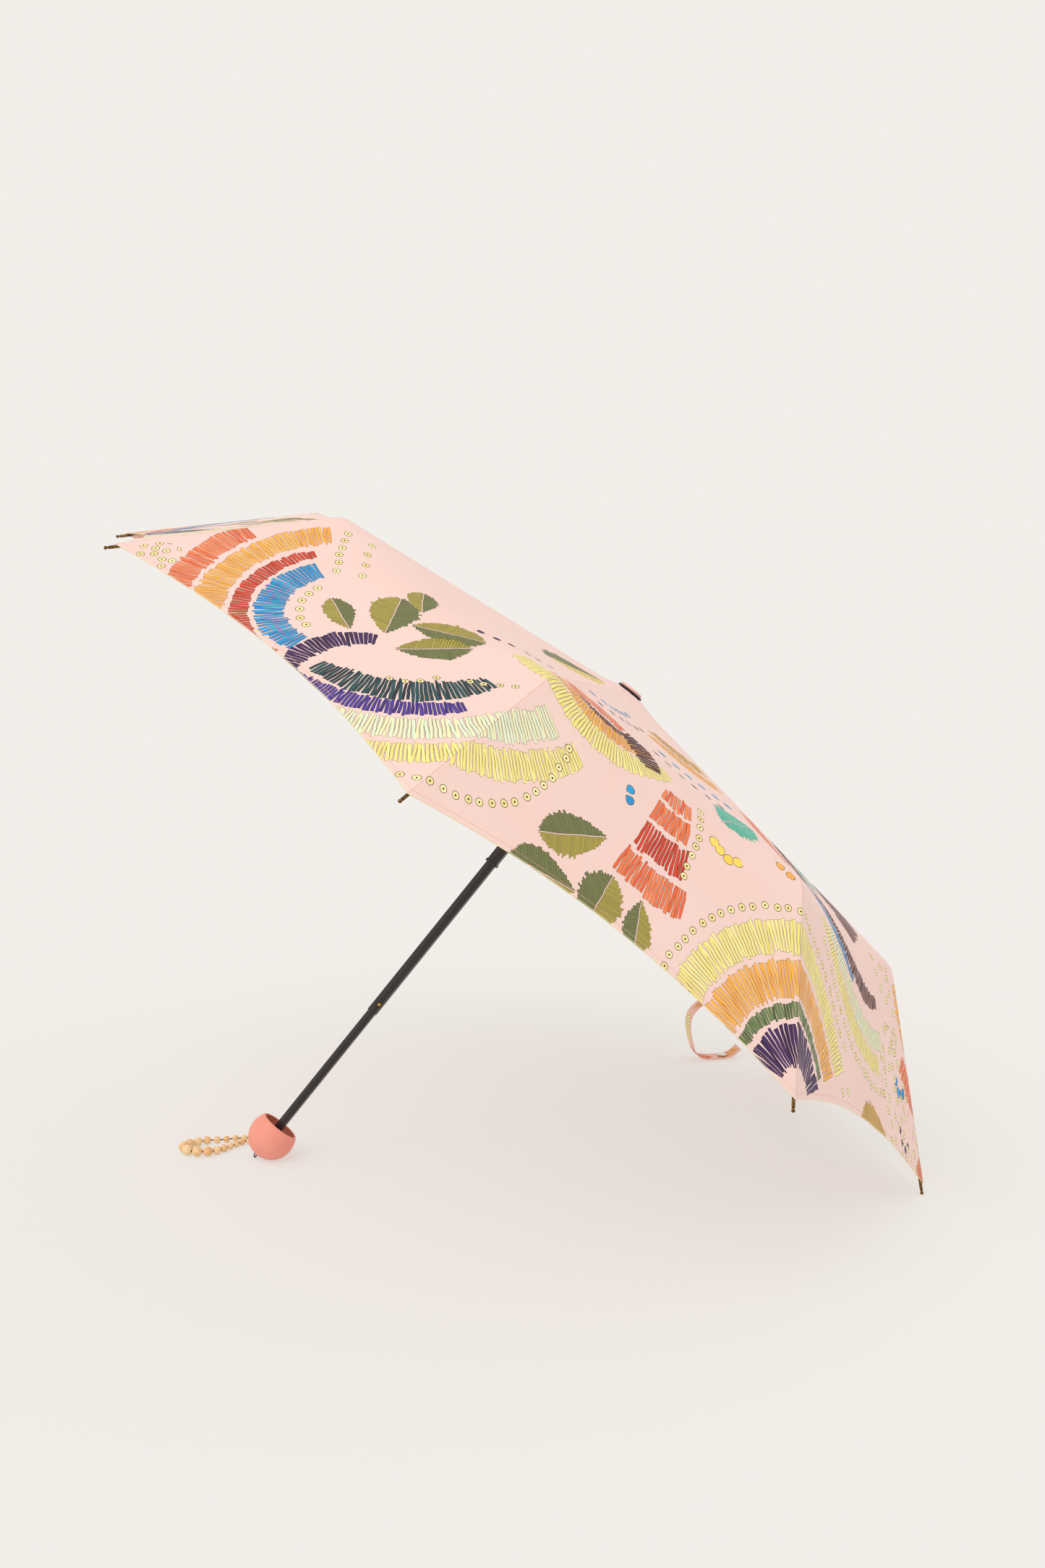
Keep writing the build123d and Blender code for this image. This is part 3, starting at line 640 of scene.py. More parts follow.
def newMotif(name, sizes, sway, rows, tone, ink):
    # Rows work out two things. Edge is how far inside the motif a point is, and its outline is inked;
    # tone is the thread's colour. Under is what the motif is drawn over.
    tree = bpy.data.node_groups.new(name, "ShaderNodeTree")
    colours, places = ("Under", "Light", "Dark"), ("Plan", "Centre")
    for socket in [*places, *colours, "Middle", *sizes]:
        kind = "Color" if socket in colours else "Vector" if socket in places else "Float"
        tree.interface.new_socket(name=socket, in_out="INPUT", socket_type="NodeSocket" + kind)
    tree.interface.new_socket(name="Colour", in_out="OUTPUT", socket_type="NodeSocketColor")
    entry = addNode(tree, "NodeGroupInput", {}, {}, {})
    known = {socket.name: socket for socket in entry.outputs}
    # place seen from the motif's own middle and direction, with a slight hand-drawn sway
    addNodes(tree, known, [
        ("offset", "VectorMath", "SUBTRACT", ["Plan", "Centre"]),
        ("turned", "VectorRotate", {"rotation_type": "Z_AXIS", "invert": True},
         {"Vector": "offset", "Angle": "Middle"}),
        ("drift", "TexNoise", {}, {"Vector": "Plan", "Scale": 0.09, "Detail": 1.0}),
        ("swayed", "VectorMath", "MULTIPLY_ADD", ["drift.Color", (sway, sway, 0), "turned"]),
        ("place", "VectorMath", "SUBTRACT", ["swayed", (sway / 2, sway / 2, 0)]),
        ("axes", "SeparateXYZ", {}, {"Vector": "place"}),
        *rows,
        ("inked", "Math", "LESS_THAN", ["edge", ink]),
        ("stroke", "Mix", "RGBA", {"Factor": "inked", "A": tone, "B": inkColour}),
        ("inside", "Math", "GREATER_THAN", ["edge", 0.0]),
        ("result", "Mix", "RGBA", {"Factor": "inside", "A": "Under", "B": "stroke.Result"}),
    ])
    addNode(tree, "NodeGroupOutput", {}, {"Colour": "result.Result"}, known)
    return tree


# each stitch or sequin has its own cell and its own chances; spokes are cells round the motif's middle
chanceRows = [
    ("chance", "TexWhiteNoise", {"noise_dimensions": "1D"}, {"W": "seeded"}),
    ("chances", "SeparateColor", {}, {"Color": "chance.Color"}),
    ("fraction", "Math", "FRACT", ["spread"]),
    ("cellMiddle", "Math", "ADD", ["cell", 0.5]),
]
spokeRows = [
    ("angle", "Math", "ARCTAN2", ["axes.Y", "axes.X"]),
    ("radius", "VectorMath", "LENGTH", ["place"]),
    ("spread", "Math", "MULTIPLY", ["angle", "perRadian"]),
    ("cell", "Math", "FLOOR", ["spread"]),
    ("seeded", "Math", "ADD", ["cell", "Seed"]),
    ("wholeSpread", "Math", "MULTIPLY", ["perRadian", "HalfAngle"]),
    *chanceRows,
]

# stitches that radiate in an arc; taper 1 makes a crescent, 0 a fan
stitchBand = newMotif("stitchBand", ["HalfAngle", "Inner", "Outer", "Stroke", "Taper", "Seed"], 2.2, [
    ("bothRadii", "Math", "ADD", ["Inner", "Outer"]),
    ("middleRadius", "Math", "MULTIPLY", ["bothRadii", 0.5]),
    ("perRadian", "Math", "DIVIDE", ["middleRadius", "Stroke"]),
    *spokeRows,
    ("reach", "Math", "SUBTRACT", ["radius.Value", "middleRadius"]),
    ("slant", "Math", "MULTIPLY_ADD", ["chances.Red", 0.14, -0.07]),
    ("slanted", "Math", "MULTIPLY", ["slant", "reach"]),
    ("shift", "Math", "DIVIDE", ["slanted", "Stroke"]),
    ("across", "Math", "ADD", ["fraction", "shift"]),
    ("fromMiddle", "Math", "SUBTRACT", ["across", 0.5]),
    ("aside", "Math", "ABSOLUTE", ["fromMiddle"]),
    ("gap", "Math", "MULTIPLY_ADD", ["chances.Green", -0.09, 0.49]),
    ("room", "Math", "SUBTRACT", ["gap", "aside"]),
    ("flare", "Math", "DIVIDE", ["radius.Value", "perRadian"]),
    ("sideEdge", "Math", "MULTIPLY", ["room", "flare"]),
    ("share", "Math", "DIVIDE", ["cellMiddle", "wholeSpread"]),
    ("shareSquared", "Math", "MULTIPLY", ["share", "share"]),
    ("thinning", "Math", "MULTIPLY", ["shareSquared", "Taper"]),
    ("kept", "Math", "SUBTRACT", [1.0, "thinning"]),
    ("depth", "Math", "SUBTRACT", ["Outer", "Inner"]),
    ("length", "Math", "MULTIPLY", ["depth", "kept"]),
    ("ragged", "Math", "MULTIPLY_ADD", ["chances.Blue", -0.09, 0.5]),
    ("halfLength", "Math", "MULTIPLY", ["length", "ragged"]),
    ("slide", "Math", "MULTIPLY_ADD", ["chances.Red", 2.4, -1.2]),
    ("slid", "Math", "ADD", ["reach", "slide"]),
    ("fromRing", "Math", "ABSOLUTE", ["slid"]),
    ("endEdge", "Math", "SUBTRACT", ["halfLength", "fromRing"]),
    ("rangeEdge", "Math", "MULTIPLY_ADD", ["shareSquared", -900.0, 900.0]),
    ("nearest", "Math", "MINIMUM", ["sideEdge", "endEdge"]),
    ("edge", "Math", "MINIMUM", ["nearest", "rangeEdge"]),
    ("tone", "Mix", "RGBA", {"Factor": "chance.Value", "A": "Light", "B": "Dark"}),
], "tone.Result", printSettings["ink"])

# a leaf from its stalk along Middle, with slanting stitches and a bare vein
stitchLeaf = newMotif("stitchLeaf", ["Length", "Width", "Stroke", "Seed"], 2.0, [
    ("aside", "Math", "ABSOLUTE", ["axes.Y"]),
    ("swept", "Math", "MULTIPLY_ADD", ["aside", -0.35, "axes.X"]),
    ("spread", "Math", "DIVIDE", ["swept", "Stroke"]),
    ("cell", "Math", "FLOOR", ["spread"]),
    ("leftSide", "Math", "GREATER_THAN", ["axes.Y", 0.0]),
    ("sided", "Math", "MULTIPLY_ADD", ["leftSide", 50.5, "cell"]),
    ("seeded", "Math", "ADD", ["sided", "Seed"]),
    *chanceRows,
    ("fromMiddle", "Math", "SUBTRACT", ["fraction", 0.5]),
    ("off", "Math", "ABSOLUTE", ["fromMiddle"]),
    ("room", "Math", "SUBTRACT", [0.47, "off"]),
    ("sideEdge", "Math", "MULTIPLY", ["room", "Stroke"]),
    ("along", "Math", "MULTIPLY", ["cellMiddle", "Stroke"]),
    ("share", "Math", {"operation": "DIVIDE", "use_clamp": True}, ["along", "Length"]),
    ("swell", "Math", "PINGPONG", ["share", 0.5]),
    ("turnShare", "Math", "MULTIPLY", ["swell", math.pi]),
    ("belly", "Math", "SINE", ["turnShare"]),
    ("blunt", "Math", "POWER", ["belly", 0.75]),
    ("ragged", "Math", "MULTIPLY_ADD", ["chances.Green", -0.1, 0.52]),
    ("halfWidth", "Math", "MULTIPLY", ["blunt", "ragged"]),
    ("wide", "Math", "MULTIPLY", ["halfWidth", "Width"]),
    ("endEdge", "Math", "SUBTRACT", ["wide", "aside"]),
    ("vein", "Math", "SUBTRACT", ["aside", 0.35]),
    ("nearest", "Math", "MINIMUM", ["sideEdge", "endEdge"]),
    ("edge", "Math", "MINIMUM", ["nearest", "vein"]),
    ("half", "Mix", "RGBA", {"Factor": "leftSide", "A": "Dark", "B": "Light"}),
    ("shadeShare", "Math", "MULTIPLY", ["chances.Blue", 0.22]),
    ("tone", "Mix", "RGBA", {"Factor": "shadeShare", "A": "half.Result", "B": inkColour}),
], "tone.Result", printSettings["ink"] * 0.8)

# round sequins on an arc, each with a hole; Hole 0 makes plain dots
sequinRow = newMotif("sequinRow", ["HalfAngle", "Radius", "Spacing", "Size", "Hole", "Seed"], 1.0, [
    ("perRadian", "Math", "DIVIDE", ["Radius", "Spacing"]),
    *spokeRows,
    ("nudge", "Math", "MULTIPLY_ADD", ["chances.Red", -0.2, -0.4]),
    ("along", "Math", "ADD", ["fraction", "nudge"]),
    ("alongLength", "Math", "MULTIPLY", ["along", "Spacing"]),
    ("reach", "Math", "SUBTRACT", ["radius.Value", "Radius"]),
    ("lift", "Math", "MULTIPLY_ADD", ["chances.Green", 2.0, -1.0]),
    ("lifted", "Math", "ADD", ["reach", "lift"]),
    ("both", "CombineXYZ", {}, {"X": "alongLength", "Y": "lifted"}),
    ("far", "VectorMath", "LENGTH", ["both"]),
    ("discEdge", "Math", "SUBTRACT", ["Size", "far.Value"]),
    ("fromMiddle", "Math", "ABSOLUTE", ["cellMiddle"]),
    ("rangeEdge", "Math", "SUBTRACT", ["wholeSpread", "fromMiddle"]),
    ("widened", "Math", "MULTIPLY", ["rangeEdge", 90.0]),
    ("edge", "Math", "MINIMUM", ["discEdge", "widened"]),
    ("hole", "Math", "LESS_THAN", ["far.Value", "Hole"]),
    ("tone", "Mix", "RGBA", {"Factor": "chances.Blue", "A": "Light", "B": "Dark"}),
    ("holed", "Mix", "RGBA", {"Factor": "hole", "A": "tone.Result", "B": inkColour}),
], "holed.Result", printSettings["sequinInk"])

# sequins strewn over an oval patch
sequinField = newMotif("sequinField", ["Length", "Width", "Spacing", "Size"], 0.0, [
    ("perSpacing", "Math", "DIVIDE", [1.0, "Spacing"]),
    ("strewn", "TexVoronoi", {"feature": "F1", "voronoi_dimensions": "2D"},
     {"Vector": "Plan", "Scale": "perSpacing", "Randomness": 0.7}),
    ("far", "Math", "MULTIPLY", ["strewn.Distance", "Spacing"]),
    ("chances", "SeparateColor", {}, {"Color": "strewn.Color"}),
    ("discEdge", "Math", "SUBTRACT", ["Size", "far"]),
    ("alongShare", "Math", "DIVIDE", ["axes.X", "Length"]),
    ("acrossShare", "Math", "DIVIDE", ["axes.Y", "Width"]),
    ("both", "CombineXYZ", {}, {"X": "alongShare", "Y": "acrossShare"}),
    ("out", "VectorMath", "LENGTH", ["both"]),
    ("patch", "Math", "MULTIPLY_ADD", ["out.Value", -60.0, 60.0]),
    ("edge", "Math", "MINIMUM", ["discEdge", "patch"]),
    ("hole", "Math", "LESS_THAN", ["far", 0.8]),
    ("tone", "Mix", "RGBA", {"Factor": "chances.Red", "A": "Light", "B": "Dark"}),
    ("holed", "Mix", "RGBA", {"Factor": "hole", "A": "tone.Result", "B": inkColour}),
], "holed.Result", printSettings["sequinInk"])

# band: middle x, y, direction, half angle, inner and outer radius, stitch width, colour, taper
# leaf: stalk x, y, direction, length, width, left colour, right colour
# row: middle x, y, direction, half angle, radius, spacing, sequin radius, hole, colour
# field: middle x, y, direction, half length, half width, spacing
leftMotifs = [
    ("band", -290, -262, 162, 27, 124, 152, 3.4, "orange", 0.2),
    ("band", -290, -262, 174, 68, 94, 122, 3.2, "gold", 0.1),
    ("band", -290, -262, 178, 62, 75, 91, 3.4, "red", 0.3),
    ("band", -290, -262, 182, 62, 46, 73, 3.2, "blue", 0.1),
    ("row", -285, -262, 180, 48, 41, 11.5, 3.5, 0.9, "cream"),
    ("row", -8, -190, 178, 7, 300, 11, 3.4, 0.9, "cream"),
    ("row", 14, -184, 180, 5, 300, 17, 3.4, 0.9, "cream"), ("field", -458, -218, 40, 27, 20, 11),
    ("leaf", -283, -286, 119, 44, 26, "olive", "leafDark"),
    ("leaf", -256, -286, 85, 54, 42, "olive", "leafDark"),
    ("leaf", -233, -247, 93, 35, 27, "olive", "leafDark"),
    ("leaf", -238, -270, -6, 58, 36, "olive", "leafDark"),
    ("leaf", -245, -306, 15, 57, 32, "olive", "leafDark"),
    ("band", -262, -352, 134, 44, 45, 66, 3.4, "navy", 0.2),
    ("band", -237, -262, -88, 40, 84, 114, 3.0, "teal", 0.45),
    ("band", -237, -262, -98, 34, 112, 133, 3.0, "violet", 0.3),
    ("band", -237, -262, -83, 47, 134, 164, 3.0, "mint", 0.1),
    ("band", -237, -262, -67, 34, 166, 194, 3.0, "lemon", 0.2),
    ("row", -200, -365, -50, 57, 105, 11.5, 3.5, 0.9, "cream"),
    ("row", -237, -305, -75, 36, 43, 11.5, 2.9, 0.9, "cream"),
    ("row", -170, -137, -90, 6, 201, 11, 2.8, 0.9, "cream"),
]
frontMotifs = [
    ("band", -75, -245, -95, 61, 73, 98, 3.0, "lemon", 0.3),
    ("band", -75, -245, -90, 52, 55, 75, 3.0, "gold", 0.5),
    ("band", -75, -245, -88, 42, 47, 57, 2.6, "brown", 0.6),
    ("band", -75, -330, 96, 32, 40, 72, 3.4, "orange", 0.4),
    ("band", -70, -335, 48, 22, 40, 74, 3.4, "brown", 0.5),
    ("row", -39, -357, 20, 60, 8.5, 11, 4.4, 0, "blue"),
    ("row", -37, -371, 20, 180, 0.6, 9, 4.4, 0, "blue"),
    ("band", 8, -230, -90, 8.5, 86, 107, 3.6, "orange", 0.3),
    ("band", 8, -230, -90, 9, 108, 132, 3.6, "orange", 0),
    ("band", 10, -230, -90, 9.5, 134, 165, 3.4, "red", 0),
    ("band", 12, -230, -90, 10.5, 168, 198, 3.4, "orange", 0),
    ("row", -270, -370, 4, 7, 305, 10.5, 3.4, 0.9, "cream"),
    ("leaf", -38, -404, -145, 66, 38, "olive", "leafDark"),
    ("leaf", -45, -464, -170, 64, 38, "olive", "leafDark"),
    ("leaf", -27, -492, 84, 62, 44, "leafDark", "olive"),
    ("leaf", 10, -431, -76, 46, 30, "olive", "leafDark"), ("row", 63, -322, -100, 62, 20, 9, 5.0, 0, "sun"),
    ("leaf", 92, -250, -127, 66, 46, "jade", "jade"), ("row", 118, -305, -120, 90, 10, 12, 4.5, 0, "gold"),
    ("band", 40, -80, -96, 26, 50, 84, 3.4, "ochre", 0.3),
    ("band", 40, -80, -92, 24, 85, 112, 3.2, "gold", 0.3),
    ("leaf", -38, -52, -128, 118, 50, "sun", "leafDark"),
    ("row", -130, -120, -40, 20, 110, 15, 4.2, 0, "blue"),
    ("row", -160, -100, -42, 16, 165, 17, 3.6, 0, "navy"),
    ("row", 40, -120, -92, 24, 108, 14, 4.4, 0, "blue"),
    ("row", 34, -140, -96, 18, 120, 14, 3.6, 0, "navy"),
    ("row", -165, -180, -80, 26, 76, 13, 3.4, 0, "navy"),
]
rightMotifs = [
    ("band", 208, -482, 122, 59, 116, 148, 3.2, "lemon", 0),
    ("band", 208, -482, 122, 58, 78, 113, 3.2, "gold", 0),
    ("band", 208, -482, 122, 56, 62, 76, 3.0, "green", 0.2),
    ("band", 208, -482, 122, 58, 22, 60, 3.6, "navy", 0),
    ("row", 208, -485, 126, 52, 160, 11.5, 3.5, 0.9, "cream"),
    ("band", 247, -165, -93, 58, 58, 80, 3.2, "brown", 0.5),
    ("band", 247, -165, -120, 34, 78, 91, 3.0, "blue", 0.4),
    ("band", 247, -165, -76, 42, 91, 112, 2.8, "mint", 0.2),
    ("band", 247, -165, -82, 40, 112, 133, 3.0, "lemon", 0.2),
    ("row", 247, -165, -75, 42, 144, 11.5, 3.5, 0.9, "cream"),
    ("row", 388, -196, -60, 70, 13, 9, 4.8, 0, "blue"), ("row", 424, -222, -70, 80, 14, 11, 3.4, 0, "navy"),
    ("leaf", 398, -280, -141, 92, 50, "leafDark", "ochre"),
    ("band", 500, -202, 172, 60, 8, 34, 3.4, "orange", 0), ("field", 395, -225, -25, 70, 42, 15),
    ("field", 300, -360, -45, 62, 22, 24), ("field", 320, -170, -25, 60, 22, 18),
    ("band", 20, -140, 12, 28, 46, 96, 4.0, "ochre", 0.2),
    ("band", 20, -140, 6, 24, 118, 154, 4.0, "orange", 0.2),
    ("band", 20, -140, 4, 20, 160, 180, 3.6, "brown", 0.2),
    ("band", 20, -140, 10, 12, 183, 197, 3.2, "jade", 0.2),
    ("band", 20, -140, 2, 14, 202, 244, 3.6, "brown", 0.3),
]


def turnedMotifs(motifs, degrees):
    c, s = math.cos(math.radians(degrees)), math.sin(math.radians(degrees))
    return [(kind, x * c - y * s, x * s + y * c, direction + degrees, *rest)
            for kind, x, y, direction, *rest in motifs]


allMotifs = leftMotifs + frontMotifs + rightMotifs
allMotifs = (turnedMotifs(leftMotifs, 132) + turnedMotifs(leftMotifs, -56)
             + turnedMotifs(allMotifs, 180) + allMotifs)


def motifPoints(motif):
    kind, x, y, direction, *rest = motif
    turn = math.radians(direction)
    if kind == "leaf":
        spots = [(rest[0] * i / 4, rest[1] / 2 * j) for i in range(5) for j in (-1, 0, 1)]
    elif kind == "field":
        spots = [(rest[0] * i, rest[1] * j) for i in (-1, 0, 1) for j in (-1, 0, 1)]
    else:
        half = math.radians(rest[0])
        far = rest[2] if kind == "band" else rest[1] + 4
        near = rest[1] if kind == "band" else rest[1] - 4
        spots = [(r * math.cos(half * i / 6), r * math.sin(half * i / 6)) for i in range(-6, 7)
                 for r in (near, (near + far) / 2, far)]
    c, s = math.cos(turn), math.sin(turn)
    return [(x + a * c - b * s, y + a * s + b * c) for a, b in spots]


def onGore(motif, gore):
    for x, y in motifPoints(motif):
        aside = (math.atan2(y, x) - gore * sector + math.pi) % (2 * math.pi) - math.pi
        if abs(aside) < sector / 2 + math.radians(2) or math.hypot(x, y) < 12:
            return True
    return False


motifSizes = {
    "band": (stitchBand, ("HalfAngle", "Inner", "Outer", "Stroke", "colour", "Taper")),
    "leaf": (stitchLeaf, ("Length", "Width", "left", "right")),
    "row": (sequinRow, ("HalfAngle", "Radius", "Spacing", "Size", "Hole", "colour")),
    "field": (sequinField, ("Length", "Width", "Spacing")),
}


def motifRow(name, motif, under, seed):
    kind, x, y, direction, *rest = motif
    group, names = motifSizes[kind]
    own = dict(zip(names, rest))
    light, dark = palette[own.pop("colour", "cream")]
    if kind == "leaf":
        light, dark = palette[own.pop("left")][0], palette[own.pop("right")][0]
        own["Stroke"] = printSettings["leafStroke"]
    if kind == "field":
        own["Size"] = printSettings["sequinRadius"]
    else:
        own["Seed"] = seed
    if "HalfAngle" in own:
        own["HalfAngle"] = math.radians(own["HalfAngle"])
    return name, "Group", {"node_tree": group}, {
        "Plan": "flat", "Under": under, "Centre": (x, y, 0), "Middle": math.radians(direction),
        "Light": light, "Dark": dark, **own}


def printedRows(attribute, cloudScale, light, dark, motifs):
    # the cloth's ground, and each of its motifs drawn over the ones before
    rows = [
        ("plan", "Attribute", {"attribute_name": attribute}, {}),
        ("flat", "VectorMath", "SCALE", {0: "plan.Vector", "Scale": 1000.0}),
        ("cloud", "TexNoise", {}, {"Vector": "flat", "Scale": cloudScale, "Detail": 2.0}),
        ("ground", "Mix", "RGBA", {"Factor": "cloud.Fac", "A": light, "B": dark}),
    ]
    under = "ground.Result"
    for seed, motif in motifs:
        rows.append(motifRow(f"motif{len(rows)}", motif, under, seed))
        under = rows[-1][0]
    return rows, under


def clothMaterial(name, gore, inside):
    # satin-woven polyester, printed outside: matt with a faint sheen, its thread too fine to see as threads
    motifs = [(17.0 * number, motif) for number, motif in enumerate(allMotifs) if onGore(motif, gore)]
    rows, printed = printedRows(
        "clothPlan", 0.012, printSettings["ground"], printSettings["groundShade"], motifs)
    rows += [
        ("seam", "Attribute", {"attribute_name": "seamDistance"}, {}),
        ("hem", "Attribute", {"attribute_name": "hemDistance"}, {}),
        # painted shade: the cloth darkened towards #C08E80 in the crease over each rib, within 0.9 mm of the
        # seam
        ("nearSeam", "MapRange", {},
         {"Value": "seam.Fac", "From Min": 0.0, "From Max": 0.0009, "To Min": 0.35, "To Max": 0.0}),
        ("creased", "Mix", "RGBA", {"Factor": "nearSeam.Result", "A": printed, "B": "#C08E80"}),
        ("atEdge", "MapRange", {},
         {"Value": "hem.Fac", "From Min": 0.0, "From Max": 0.0013, "To Min": 0.55, "To Max": 0.0}),
        ("edged", "Mix", "RGBA", {"Factor": "atEdge.Result", "A": "creased.Result", "B": "#F2E2B4"}),
        # hem stitches, 2.6 mm long, 5 mm from the edge
        ("fromStitch", "Math", "COMPARE", ["hem.Fac", 0.005, 0.00035]),
        ("axes", "SeparateXYZ", {}, {"Vector": "flat"}),
        ("around", "Math", "ARCTAN2", ["axes.Y", "axes.X"]),
        ("stitches", "Math", "MULTIPLY", ["around", 190.0]),
        ("stitchShare", "Math", "FRACT", ["stitches"]),
        ("onThread", "Math", "LESS_THAN", ["stitchShare", 0.72]),
        ("thread", "Math", "MULTIPLY", ["fromStitch", "onThread"]),
        ("threadShare", "Math", "MULTIPLY", ["thread", 0.6]),
        ("sewn", "Mix", "RGBA", {"Factor": "threadShare", "A": "edged.Result", "B": "#E3A796"}),
        # puckers along the seams, and a weave drawn at 0.8 mm because 0.2 mm threads don't show at this size
        ("weave", "TexChecker", {},
         {"Vector": "flat", "Scale": 1.25, "Color1": (1, 1, 1, 1), "Color2": (0, 0, 0, 1)}),
        ("pucker", "TexNoise", {}, {"Vector": "flat", "Scale": 0.11, "Detail": 2.0}),
        ("nearSeams", "MapRange", {"interpolation_type": "SMOOTHSTEP"},
         {"Value": "seam.Fac", "From Min": 0.0, "From Max": 0.016, "To Min": 1.0, "To Max": 0.12}),
        ("puckered", "Math", "MULTIPLY", ["pucker.Fac", "nearSeams.Result"]),
        ("relief", "Math", "MULTIPLY_ADD", ["weave.Fac", 0.03, "puckered"]),
        ("sunk", "Math", "MULTIPLY_ADD", ["thread", 0.25, "relief"]),
        ("bump", "Bump", {}, {"Height": "sunk", "Strength": 0.55, "Distance": 0.0012}),
    ]
    if inside:
        rows.append(("faded", "Mix", "RGBA",
                     {"Factor": printSettings["insideFade"], "A": "sewn.Result", "B": "#F4DAD2"}))
    return newMaterial(name, rows, {
        "Base Color": "faded.Result" if inside else "sewn.Result", "Normal": "bump", "Roughness": 0.72,
        "Specular IOR Level": 0.3, "Sheen Weight": 0.12, "Sheen Roughness": 0.4})


outsides = [clothMaterial(f"printedPolyester{gore + 1}", gore, False) for gore in range(umbrella["arms"])]
insides = [clothMaterial(f"polyesterBack{gore + 1}", gore, True) for gore in range(umbrella["arms"])]
print("print is drawn:", len(allMotifs), "motifs")
for number, strip in enumerate(strips):
    gore = number // coverSettings["stripsPerGore"]
    giveMaterial(strip, outsides[gore], insides[gore])
    thickenStrip(strip)
    strip.name = strip.data.name = f"coverStrip_{number + 1:02d}"
    width = 2 * coverSettings["seamLine"][-1][0] * mm * math.tan(sector / coverSettings["stripsPerGore"] / 2)
    width *= coverSettings["cutSpare"]
    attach(strip, "shaft_top")
    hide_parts("canopy")
    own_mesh(strip)
print("cover is done")


# crown cap: flat pink disc on a black washer

capOutline = [(0, -6.9), (2.5, -6.9), (2.5, 1.12), (10.8, 1.12), (11.2, 1.3), (11.35, 1.7), (11.35, 2.9),
              (11.15, 3.3), (10.7, 3.55), (10.0, 3.62), (0, 3.7)]
crownCap = settle(turnedPiece("crownCap", capOutline, sides=64))
smoothByAngle(crownCap, 40)
washerOutline = [(2.6, -0.3), (12.7, -0.3), (13.0, -0.1), (13.0, 0.75), (12.85, 0.95), (12.55, 1.08),
                 (2.6, 1.1)]
crownWasher = settle(turnedPiece("crownWasher", washerOutline, sides=64, closed=True))
smoothByAngle(crownWasher, 40)


# handle ball: a thin moulded bowl, open towards the cover

ballSettings = {"wall": 1.6, "mouthRise": 12.3, "holeRadius": 3.5, "sides": 72, "steps": 30}


def bowlOutline():
    outer = umbrella["ballRadius"] / mm
    inner = outer - ballSettings["wall"]
    base = -umbrella["shaftLength"] / mm
    mouth = ballSettings["mouthRise"]
    points = []
    for radius, rise, way in ((outer, mouth - 0.55, 1), (inner, mouth - 0.5, -1)):
        first = math.asin(ballSettings["holeRadius"] / radius)
        last = math.acos(-rise / radius)
        arc = [(radius * math.sin(a), base - radius * math.cos(a)) for a in
               (first + (last - first) * i / ballSettings["steps"] for i in range(ballSettings["steps"] + 1))]
        points += arc if way > 0 else arc[::-1]
    lip = len(points) // 2
    outerEdge, innerEdge = Vector(points[lip - 1]), Vector(points[lip])
    across = innerEdge - outerEdge
    rounding = [outerEdge + across * s + Vector((0.15, 0.55)) * math.sin(math.pi * (s * 0.86 + 0.07)) for s in
                (0.12, 0.3, 0.5, 0.7, 0.88)]
    return points[:lip] + [tuple(p) for p in rounding] + points[lip:]


handleBall = settle(turnedPiece("handleBall", bowlOutline(), sides=ballSettings["sides"], closed=True))
smoothByAngle(handleBall, 40)
print("cap, washer and ball are turned")


# closing strap: a folded and stitched ribbon of the cover's cloth, hanging from the hem to the floor

strapSettings = {
    "middle": 262.0,
    "width": 22.0,
    "thickness": 0.8,
    "route": [(489.0, 82.4), (485.0, 69.0), (468.0, 61.0), (457.5, 48.0), (459.0, 26.0), (467.0, 2.6),
              (490.0, 1.6), (506.0, 3.0), (515.0, 12.0)],
    "azimuth": math.radians(37.65),   # where round the shaft it is sewn on
    "rows": 90,
    "columns": 12,
}
guide = nurbsLine("strapGuide", [(x, strapSettings["middle"], z) for x, z in strapSettings["route"]])
strapWalk = Walk(pointsAlong(guide))
bpy.data.objects.remove(guide)
deselectAll()
bpy.ops.mesh.primitive_grid_add(
    x_subdivisions=strapSettings["columns"], y_subdivisions=strapSettings["rows"], size=2)
strap = bpy.context.object
strap.name = "closingStrap"
strapPlan = []
for vertex in strap.data.vertices:
    across, share = vertex.co.x, (vertex.co.y + 1) / 2
    place, direction = strapWalk.at(share * strapWalk.length)
    side = Vector((0, 1, 0))
    up = direction.cross(side).normalized()
    cup = 0.5 * (across * across - 0.4) * math.sin(math.pi * share) * mm
    vertex.co = place + side * across * strapSettings["width"] / 2 * mm + up * cup
    strapPlan.append((across * strapSettings["width"] / 2 * mm, share * strapWalk.length, 0.0))
values = strap.data.attributes.new("strapPlan", "FLOAT_VECTOR", "POINT")
values.data.foreach_set("vector", [c for p in strapPlan for c in p])
applyModifier(strap, "SOLIDIFY", thickness=strapSettings["thickness"] * mm, offset=0)
applyModifier(strap, "BEVEL", width=0.2 * mm, segments=2, limit_method="ANGLE", angle_limit=math.radians(60))
smoothByAngle(strap, 40)
snapLow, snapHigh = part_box("strap_snap")
snapPlace = Matrix.Translation(((snapLow[0] + snapHigh[0]) / 2, (snapLow[1] + snapHigh[1]) / 2, snapLow[2]))
snapOutline = [(0, -0.9), (3.4, -0.9), (3.4, -0.1), (4.6, -0.1), (5.0, 0.1), (5.0, 0.5), (4.7, 0.85),
               (4.2, 1.0), (3.7, 0.9), (3.3, 0.62), (2.6, 0.55), (2.1, 0.7), (1.8, 1.05), (1.3, 1.2),
               (0, 1.22)]
snap = settle(turnedPiece("strapSnap", snapOutline, sides=40), snapPlace)
smoothByAngle(snap, 40)
print("strap and snap are made")


# materials of the hard pieces

